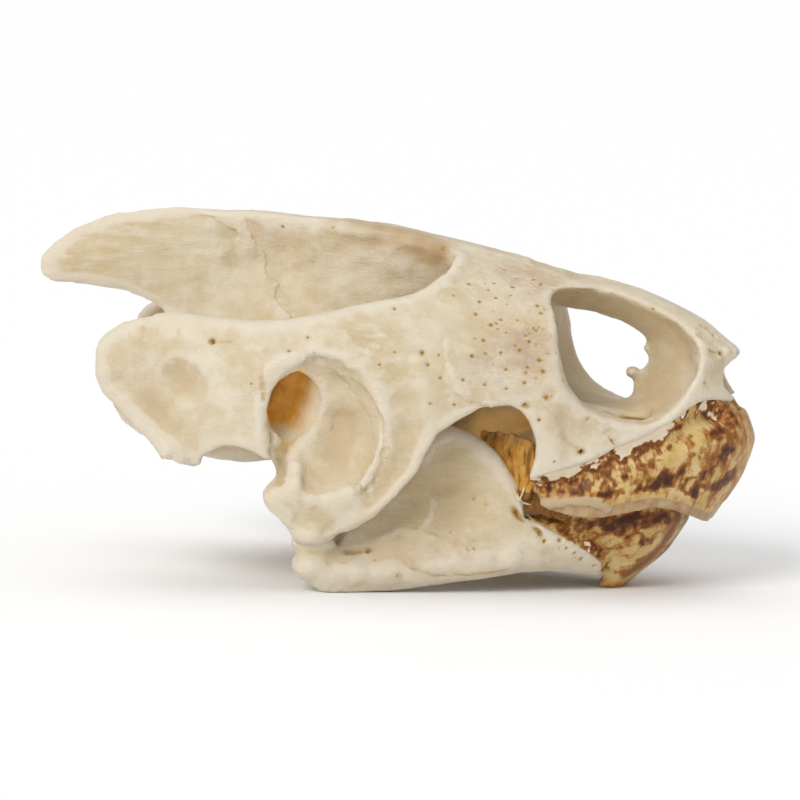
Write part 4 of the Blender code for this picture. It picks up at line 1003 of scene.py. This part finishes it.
def horn_material(settings):
    """Horn: marbled yellow and brown, darkest along its ragged rim and above the bite, glossy in places."""
    material, shader, start, place = new_material(
        "marbled horn", IOR=1.5, Specular_IOR_Level=0.28, Subsurface_Weight=0.06, Subsurface_Scale=0.0008,
        Subsurface_Radius=(1.0, 0.5, 0.2), Coat_Roughness=0.08
    )
    run = start.painted("run") * 0.30
    follow = start.node("CombineXYZ", None, {0: start.painted("across"), 1: run, 2: 0.0})
    cloud = start.noise(place, 0.5, 5.0, 0.65)
    marble = start.noise(place, 0.9, 4.0, 0.62, 0.4)
    streak = start.noise(follow, 1.3, 4.0, 0.62)
    specks = start.noise(place, 3.2, 4.0, 0.6)
    ragged = marble * 0.5 + streak * 0.6 - 0.55
    scallops = start.noise(place, 0.62, 2.5, 0.5)
    edge = start.painted("edge") + (scallops - 0.5) * 5.0 + (specks - 0.5) * 0.5
    rim = start.painted("rim") * edge.ramp(0.2, 1.2, 1.0, 0.0)
    dark = start.painted("dark").most(rim) + ragged * 3.6 + (specks - 0.5) * 0.8
    colour = layered(
        cloud.ramp(0.36, 0.64).blend(settings.yellow, settings.pale),
        ((start.painted("amber") + ragged * 3.6).ramp(0.30, 0.90), settings.amber),
        (0.85 * (start.painted("front") + ragged * 1.8).ramp(0.05, 1.05), settings.orange),
        ((start.painted("russet") + ragged * 1.8).ramp(0.2, 1.0), settings.russet),
        (dark.ramp(-0.05, 0.50), settings.amber),
        (dark.ramp(0.25, 1.00), settings.brown),
        (dark.ramp(0.85, 1.60), settings.dark),
        (start.painted("strip"), marble.ramp(0.35, 0.65).blend(settings.strip, settings.worn)),
        (start.painted("chip"), settings.chip),
        (edge.ramp(0.45, 0.20), settings.amber),
        # Bone showing at the free edge, painted lighter than the bone around it to offset the shade of its
        # inset
        (edge.ramp(0.24, 0.02), settings.bare),
    )
    wire(shader, "Base Color", colour)
    fibre = start.noise(follow, 6.0, 3.0, 0.6)
    fine = start.noise(place, 9.0, 3.0)
    height = fibre * 0.8 + fine * 0.7 + marble * 1.0
    stand_out(shader, height, 0.5, 0.00014)
    wire(shader, "Roughness", fine.ramp(0.35, 0.7, 0.28, 0.50))
    wire(shader, "Coat Weight", specks.ramp(0.50, 0.75, 0.0, 0.35))
    return material


def dress(thing, material, slot, *nodes):
    """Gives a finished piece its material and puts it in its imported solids' place."""
    thing.data.materials.clear()
    thing.data.materials.append(material)
    only(thing)
    bpy.ops.object.shade_smooth()
    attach(thing, "root")
    if nodes:
        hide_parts(*nodes)


def colour_setting(name, description, *default):
    """A colour that a user can change."""
    return FloatVectorProperty(name=name, description=description, subtype="COLOR", default=default)


def grain_setting(default, least):
    """How fine a piece is made."""
    description = "Size of the finest faces, in millimetres"
    return FloatProperty(name="Grain", description=description, default=default, min=least)


class BoneSettings(PropertyGroup):
    """Fineness and colours of the bones and of the dried tissue."""

    grain: grain_setting(0.3, 0.15)
    cream: colour_setting("Cream", "Palest bone", 0.63, 0.53, 0.365)
    ivory: colour_setting("Ivory", "Usual bone", 0.575, 0.455, 0.275)
    warm: colour_setting("Warm", "Warmer drifts", 0.54, 0.405, 0.24)
    straw: colour_setting("Straw", "Thin see-through bone", 0.56, 0.43, 0.235)
    # White is also the painted highlight on ridges and on the jaw's lower side
    pink: colour_setting("Pink", "Spongy patches", 0.43, 0.29, 0.205)
    white: colour_setting("White", "Chalky patches", 0.71, 0.64, 0.52)
    # Tan is also the painted shade of closed-in places
    tan: colour_setting("Tan", "Deep inside", 0.68, 0.48, 0.21)
    ochre: colour_setting("Ochre", "Stained walls of holes", 0.62, 0.28, 0.04)
    # Painted shade under the overhanging edge of the roof
    shade: colour_setting("Shade", "Tanned bone under the roof's edge", 0.40, 0.25, 0.09)
    # Painted glow: these two colours are given off as light, though bone and tissue are no lamp
    tan_glow: colour_setting("Tan glow", "Light that thin bone lets through", 0.27, 0.165, 0.055)
    ochre_glow: colour_setting("Ochre glow", "Light through dried tissue", 0.06, 0.022, 0.001)
    tissue: colour_setting("Tissue", "Dried tissue", 0.46, 0.21, 0.025)
    tissue_pale: colour_setting("Pale tissue", "Thinner tissue", 0.56, 0.32, 0.08)
    amber: colour_setting("Amber", "Faint stains", 0.44, 0.26, 0.07)
    brown: colour_setting("Brown", "Stained pits", 0.22, 0.095, 0.02)


class HornSettings(PropertyGroup):
    """Fineness and colours of the horn sheaths."""

    grain: grain_setting(0.17, 0.12)
    yellow: colour_setting("Yellow", "Usual horn", 0.56, 0.38, 0.125)
    pale: colour_setting("Pale", "Palest horn", 0.64, 0.48, 0.22)
    amber: colour_setting("Amber", "Streaks", 0.34, 0.12, 0.015)
    brown: colour_setting("Brown", "Marbling", 0.085, 0.020, 0.003)
    dark: colour_setting("Dark", "Heart of the marbling", 0.032, 0.007, 0.002)
    orange: colour_setting("Orange", "Thin front corner", 0.50, 0.235, 0.045)
    russet: colour_setting("Russet", "Reddish front of the chin", 0.22, 0.075, 0.022)
    strip: colour_setting("Strip", "Worn biting edge", 0.38, 0.23, 0.105)
    worn: colour_setting("Worn", "Paler wear on it", 0.50, 0.355, 0.20)
    chip: colour_setting("Chip", "Lifted flake", 0.50, 0.375, 0.23)
    # Bone's colour, partly painted light: lighter than the bone to offset the shade of the inset
    bare: colour_setting("Bare", "Bone that shows through the free edge", 0.84, 0.72, 0.54)


class StageSettings(PropertyGroup):
    """Floor and lights."""

    floor_size: FloatProperty(name="Floor", description="Side of the floor", default=6.0, unit="LENGTH")
    key_strength: FloatProperty(name="Key light", description="Strength of the main light", default=1.75)
    key_angle: FloatProperty(name="Softness", description="How wide the main light is", default=radians(28),
                             unit="ROTATION")
    top_strength: FloatProperty(name="Top light", description="Strength of the light above", default=0.75)
    sky: FloatProperty(name="Sky", description="Strength of the even light all round", default=0.52)


def scatter_pores(carving, seed, count, centre, spread, radii):
    """Small stained pits around a place, on both sides."""
    draw = np.random.default_rng(seed)
    for _ in range(count):
        side = draw.choice(RIGHT_AND_LEFT)
        radius = draw.uniform(*radii)
        place = draw.normal(centre, spread)
        length = draw.uniform(0.0, 2.0) * radius
        carving.hole(place, radius, 1.2 * radius, length, draw.uniform(0.4, 1.0), side)


def mark_bone(bone, relief, furrows, holes):
    """Gathers the marks that both bones share."""
    carving = Carving(bone)
    for side in RIGHT_AND_LEFT:
        for half_width, depth, path in relief:
            carving.relief(path, half_width, depth, side)
        for half_width, depth, stain, path in furrows:
            carving.furrow(path, half_width, depth, stain, side)
        for place, radius, depth, length, stain in holes:
            carving.hole(place, 0.85 * radius, depth, 0.5 * length, stain, side)
    return carving


def finish_bone(carving, closed_share, tints):
    """Carves a bone and paints what its material reads. Towards the snout it counts as less closed."""
    bone = carving.thing
    carving.sharpen()
    paint(bone, stain=carving.carve())
    thin_out(bone, MOST_TRIANGLES)
    places = places_of(bone)
    places[:, 2] = np.maximum(places[:, 2], 0.0)
    move_to(bone, places)
    # Hollowness and closedness drive the bone's painted shade, painted highlight and painted glow
    paint(bone, hollow=hollowness(bone))
    in_front = sum(less * smoothly(places[:, 0], start, end) for less, start, end in LESS_CLOSED)
    paint(bone, closed=closed_share * closedness(bone) * (1 - in_front))
    paint_tints(bone, tints)


class SKULL_OT_cranium(Operator):
    """Makes the skull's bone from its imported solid"""

    bl_idname = "skull.cranium"
    bl_label = "Skull bone"

    def execute(self, context):
        settings = context.scene.skull_bone
        bone = copy_of("cranium", "skull_bone")
        join_to(bone, sheet_through("orbit plate", ORBIT_PLATE, ORBIT_PLATE_THICKNESS), knob(*ORBIT_KNOB))
        refine(bone, settings.grain, SKULL_ROUNDS)
        swell(bone, SKULL_SWELLINGS)
        roughen(bone, SKULL_ROUGH_PATCHES)
        carving = mark_bone(bone, SKULL_RELIEF, SKULL_FURROWS, SKULL_HOLES)
        for side in RIGHT_AND_LEFT:
            for height, reach, softness, way, stain, path in SKULL_STEPS:
                carving.step(path, height, reach, softness, way, stain, side)
            for x, y, z, radius, length in SPONGY_PORES:
                carving.hole((x, y, z), 1.1 * radius, radius, 0.5 * length, 0.95, side)
            for seed, (count, radius, path) in enumerate(SKULL_RAGGED_EDGES):
                carving.bites(path, count, radius, seed, side)
        for cloud in SKULL_PORE_CLOUDS:
            scatter_pores(carving, *cloud)
        finish_bone(carving, 1.0, SKULL_TINTS)
        dress(bone, bone_material(settings), "bone", "cranium")
        return {"FINISHED"}


class SKULL_OT_lower_jaw(Operator):
    """Makes the lower jaw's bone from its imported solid"""

    bl_idname = "skull.lower_jaw"
    bl_label = "Lower jaw bone"

    def execute(self, context):
        settings = context.scene.skull_bone
        bone = copy_of("lower_jaw", "jaw_bone")
        place, half_sizes = JAW_JOINT
        join_to(bone, *[knob(mirrored(place, side), half_sizes) for side in RIGHT_AND_LEFT])
        refine(bone, settings.grain, JAW_ROUNDS)
        swell(bone, JAW_SWELLINGS)
        roughen(bone, JAW_ROUGH_PATCHES)
        carving = mark_bone(bone, JAW_RELIEF, JAW_FURROWS, JAW_HOLES)
        for cloud in JAW_PORE_CLOUDS:
            scatter_pores(carving, *cloud)
        finish_bone(carving, 0.8, JAW_TINTS)
        dress(bone, bpy.data.materials["cleaned bone"], "jaw_bone", "lower_jaw")
        return {"FINISHED"}


class SKULL_OT_tissue(Operator):
    """Makes the dried tissue in the ears and in the corners of the mouth"""

    bl_idname = "skull.tissue"
    bl_label = "Dried tissue"

    def execute(self, context):
        look = tissue_material(context.scene.skull_bone)
        ears = [
            sheet_through("ear_tissue", EAR_TISSUE, EAR_TISSUE_THICKNESS, side) for side in RIGHT_AND_LEFT
        ]
        join_to(*ears)
        x, _, z = places_of(ears[0]).T
        pale = np.maximum(smoothly(x + 0.3 * (15 - z), -7.8, -4.8), 1 - smoothly(z, 12.4, 14.2))
        # Painted shade: darker towards the opening's upper rear
        paint(ears[0], pale=pale, dark=0.9 * (1 - smoothly(x - 0.5 * (z - 15), -10.4, -7.6)))
        dress(ears[0], look, "bone")
        corners = [
            sheet_through("corner_tissue", rows, CORNER_TISSUE_THICKNESS, side) for side in RIGHT_AND_LEFT
            for rows in (CORNER_TISSUE, MOUTH_TISSUE)
        ]
        join_to(*corners)
        places = places_of(corners[0])
        folds = unevenness(places, 0.9, (0.6, 1.0, 2.2))
        lift(corners[0], 0.25 * folds)
        # Painted shade: darker where the folds sink and low down under the horn
        dark = 0.45 - 0.9 * folds + 1.2 * (1 - smoothly(places[:, 2], 8.2, 8.8))
        paint(corners[0], pale=0.35 * smoothly(places[:, 2], 11.6, 12.8), dark=dark)
        dress(corners[0], look, "bone")
        strands = []
        for side in RIGHT_AND_LEFT:
            for half_width, path in CORNER_STRANDS:
                left = [(x - half_width, y * side, z) for x, y, z in path]
                right = [(x + half_width, (y - 0.05) * side, z) for x, y, z in path]
                strands.append(sheet_through("corner_strands", [left, right], STRAND_THICKNESS, 1, 4))
        join_to(*strands[::-1])
        strand = strands[-1]
        strand.name = "corner_strands"
        ripple = unevenness(places_of(strand), 0.6)
        lift(strand, 0.05 * ripple)
        paint(strand, pale=0.75 + 0.5 * ripple, dark=0.0)
        dress(strand, look, "bone")
        return {"FINISHED"}


def off_surface(surface, places):
    """The nearest points of a surface, how far off the places are, and the way out to them."""
    nearest = np.array([surface.find_nearest(Vector(place))[0] for place in places])
    gaps = np.linalg.norm(places - nearest, axis=1)
    return nearest, gaps, (places - nearest) / np.maximum(gaps, 1e-6)[:, None]


def seat_horn(horn, bone, way, near_rim, room):
    """Lays a sheath on its bone: a ragged free edge that tapers down to it, and no gap inside.

    The edge wanders along a way, near_rim tells which places belong to it, and room is how far a place
    may stand from it, so that a thin end stays thin.
    """
    surface = surface_of(bone)
    places = places_of(horn)
    _, gaps, away = off_surface(surface, places)
    facing = (away * normals_of(horn)).sum(axis=1)
    rim = np.flatnonzero((abs(facing) < 0.5) & (gaps > 0.2) & (gaps < 1.6) & near_rim(places))
    tree = tree_of(places[rim])
    reach = np.array([tree.find(Vector(place))[2] for place in places])
    straight = np.asarray(way, float) / np.linalg.norm(way)
    across = places - np.outer(places @ straight, straight)
    ragged = 0.30 + 0.7 * unevenness(across, 1.9)
    calm = 1 - 0.85 * smoothly(places[:, 0], CALM_FROM, CALM_TO)
    slide = (1 - smoothly(reach, 0.2, 1.8)) * ragged * calm
    places = places + slide[:, None] * np.asarray(way, float)
    nearest, gaps, away = off_surface(surface, places)
    close = np.minimum(reach, room(places))
    taper = smoothly(close, 0.0, 1.7)
    outside = 0.10 + (gaps - 0.10) * taper
    inside = np.where(gaps < 1.0, -0.12 + gaps * smoothly(close, 2.0, 3.5), gaps)
    level = np.where(facing < -0.3, inside, outside)
    level = np.where((abs(facing) <= 0.3) & (close < 0.4), 0.05, level)
    level = np.where(close < 4.0, level, gaps)
    move_to(horn, nearest + away * level[:, None])
    soften(horn, 1 - smoothly(reach, 1.6, 3.0), RIM_ROUNDS)
    return reach


class SKULL_OT_horn(Operator):
    """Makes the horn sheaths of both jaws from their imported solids"""

    bl_idname = "skull.horn"
    bl_label = "Horn sheaths"

    def execute(self, context):
        settings = context.scene.skull_horn
        look = horn_material(settings)
        self.upper(settings.grain, look)
        self.lower(settings.grain, look)
        return {"FINISHED"}

    def upper(self, grain, look):
        """The sheath over the upper jaw's edge, with its worn strip along the bite."""
        horn = copy_of("upper_beak", "upper_horn")
        refine(horn, grain, HORN_ROUNDS)
        x, y, z = places_of(horn).T
        front = smoothly(x, 19.0, 23.0) * smoothly(z - np.interp(x, *UPPER_BITE.T), -0.4, 1.2)
        soften(horn, front, UPPER_FRONT_ROUNDS)
        swell(horn, HORN_SWELLINGS)
        reach = seat_horn(
            horn, bpy.data.objects["skull_bone"], (0, 0, 1.0),
            lambda at: (at[:, 2] > np.interp(at[:, 0], *UPPER_RIM.T) - 0.9) & (at[:, 0] < UPPER_FRONT),
            lambda at: np.maximum(at[:, 0] - UPPER_REAR, 0.0)
        )
        places = places_of(horn)
        x, y, z = places.T
        low = z - np.interp(x, *UPPER_BITE.T)
        strip = 1 - smoothly(low, 0.85, 1.05)
        band = np.exp(-((low - 1.35) / 0.35) ** 2) * (1 - smoothly(x, 25.5, 27.5))
        marks = stroke_mask(places, UPPER_HORN_MARKS, 0.7, 1.9)
        front = np.exp(-(y / 2.4) ** 2) * smoothly(x, 20, 24)
        chip = stroke_mask(places, [(0.42, 1.0, CHIP)], 0.2)
        paint(
            horn, across=np.arctan2(y, x - 12.0) * 13.0, run=z,
            edge=np.minimum(reach + 0.6 * smoothly(x, 22.0, 25.0), 5.0), rim=0.85 * (1 - front),
            dark=marks - 0.35 * front - 1.0 * band, amber=0.6 * smoothly(x, 22, 27),
            front=np.maximum(front, 0.45 * band), russet=0.0, strip=strip, chip=smoothly(chip, 0.35, 0.6)
        )
        lift(horn, 0.20 * smoothly(chip, 0.2, 0.7) - 0.10 * strip * smoothly(low, -0.2, 0.3))
        dress(horn, look, "horn", "upper_beak")

    def lower(self, grain, look):
        """The sheath over the front of the lower jaw, with its reddish chin."""
        horn = copy_of("lower_beak", "lower_horn")
        refine(horn, grain, HORN_ROUNDS)
        x, y, z = places_of(horn).T
        front = smoothly(x, 20.2, 22.2) * smoothly(z, 1.6, 2.8) * (1 - smoothly(z, 5.0, 6.4))
        soften(horn, front, LOWER_FRONT_ROUNDS)
        swell(horn, HORN_SWELLINGS)
        reach = seat_horn(
            horn, bpy.data.objects["jaw_bone"], (-0.65, 0, 0),
            lambda at: (at[:, 0] < np.interp(at[:, 2], *LOWER_RIM.T) + 0.9) & (at[:, 2] > 0.9),
            lambda at: np.maximum(at[:, 0] - LOWER_REAR, 0.0)
        )
        places = places_of(horn)
        x, y, z = places.T
        marks = stroke_mask(places, LOWER_HORN_MARKS, 0.7, 1.6)
        front = np.exp(-(y / 2.0) ** 2) * smoothly(x, 19, 23)
        russet = stroke_mask(places, [(0.9, 1.0, LOWER_HORN_RUSSET)])
        tip = 1 - smoothly(z, 0.4, 1.6)
        paint(
            horn, across=0.85 * z - 0.52 * x, run=0.52 * z + 0.85 * x, edge=np.minimum(reach + 0.9, 5.0),
            rim=0.45 + 0.5 * (1 - smoothly(z, 3.0, 5.0)), dark=marks - 0.5 * russet + 0.1 * tip, amber=0.40,
            front=0.7 * tip, russet=np.maximum(russet, front), strip=0.0, chip=0.0
        )
        dress(horn, look, "horn", "lower_beak")


class SKULL_OT_stage(Operator):
    """Makes the floor, the lights and the camera at the photograph's viewing angle"""

    bl_idname = "skull.stage"
    bl_label = "Stage"

    def execute(self, context):
        settings = context.scene.skull_stage
        bpy.ops.object.select_all(action="DESELECT")
        bpy.ops.mesh.primitive_plane_add(size=settings.floor_size, location=(0, 0, 0))
        floor = context.active_object
        floor.name = "floor"
        material, shader = new_material("paper", Roughness=0.9, Specular_IOR_Level=0.1)[:2]
        shader.inputs["Base Color"].default_value = (0.95, 0.95, 0.95, 1.0)
        floor.data.materials.append(material)
        world = bpy.data.worlds.new("studio")
        context.scene.world = world
        world.use_nodes = True
        background = world.node_tree.nodes["Background"]
        background.inputs["Color"].default_value = (1.0, 1.0, 1.0, 1.0)
        background.inputs["Strength"].default_value = settings.sky
        for name, place, strength, angle in (
            ("key", (-0.35, -0.75, 0.55), settings.key_strength, settings.key_angle),
            ("top", (0.0, 0.1, 1.0), settings.top_strength, radians(60)),
        ):
            lamp = bpy.data.lights.new(name, "SUN")
            lamp.energy = strength
            lamp.angle = angle
            light = bpy.data.objects.new(name, lamp)
            light.location = place
            light.rotation_euler = (-Vector(place)).to_track_quat("-Z", "Y").to_euler()
            context.scene.collection.objects.link(light)
        camera = bpy.data.objects.new("camera", bpy.data.cameras.new("camera"))
        camera.data.lens = CAMERA_LENS
        camera.data.clip_start = 0.01
        camera.matrix_world = Matrix(CAMERA_PLACE)
        context.scene.collection.objects.link(camera)
        context.scene.camera = camera
        context.scene.view_settings.view_transform = "Standard"
        return {"FINISHED"}


class SKULL_PT_panel(Panel):
    """Lists the operators and the settings"""

    bl_label = "Pond turtle skull"
    bl_idname = "SKULL_PT_panel"
    bl_space_type = "VIEW_3D"
    bl_region_type = "UI"
    bl_category = "Skull"

    def draw(self, context):
        for group, operators in (
            ("skull_bone", ("skull.cranium", "skull.lower_jaw", "skull.tissue")),
            ("skull_horn", ("skull.horn",)),
            ("skull_stage", ("skull.stage",)),
        ):
            column = self.layout.column()
            for operator in operators:
                column.operator(operator)
            settings = getattr(context.scene, group)
            for name in settings.bl_rna.properties.keys():
                if name not in ("rna_type", "name"):
                    column.prop(settings, name)


SETTINGS = {"skull_bone": BoneSettings, "skull_horn": HornSettings, "skull_stage": StageSettings}
CLASSES = (
    *SETTINGS.values(), SKULL_OT_cranium, SKULL_OT_lower_jaw, SKULL_OT_tissue, SKULL_OT_horn, SKULL_OT_stage,
    SKULL_PT_panel
)


def register():
    """Makes the settings, the operators and the panel known."""
    for kind in CLASSES:
        bpy.utils.register_class(kind)
    for name, kind in SETTINGS.items():
        setattr(bpy.types.Scene, name, PointerProperty(type=kind))


def unregister():
    """Takes them away again."""
    for name in SETTINGS:
        delattr(bpy.types.Scene, name)
    for kind in reversed(CLASSES):
        bpy.utils.unregister_class(kind)


def main():
    """Builds the stage and every piece."""
    noise.seed_set(WANDER_SEED)
    register()
    bpy.ops.skull.stage()
    bpy.ops.skull.cranium()
    bpy.ops.skull.lower_jaw()
    bpy.ops.skull.tissue()
    bpy.ops.skull.horn()


if __name__ == "__main__":
    main()
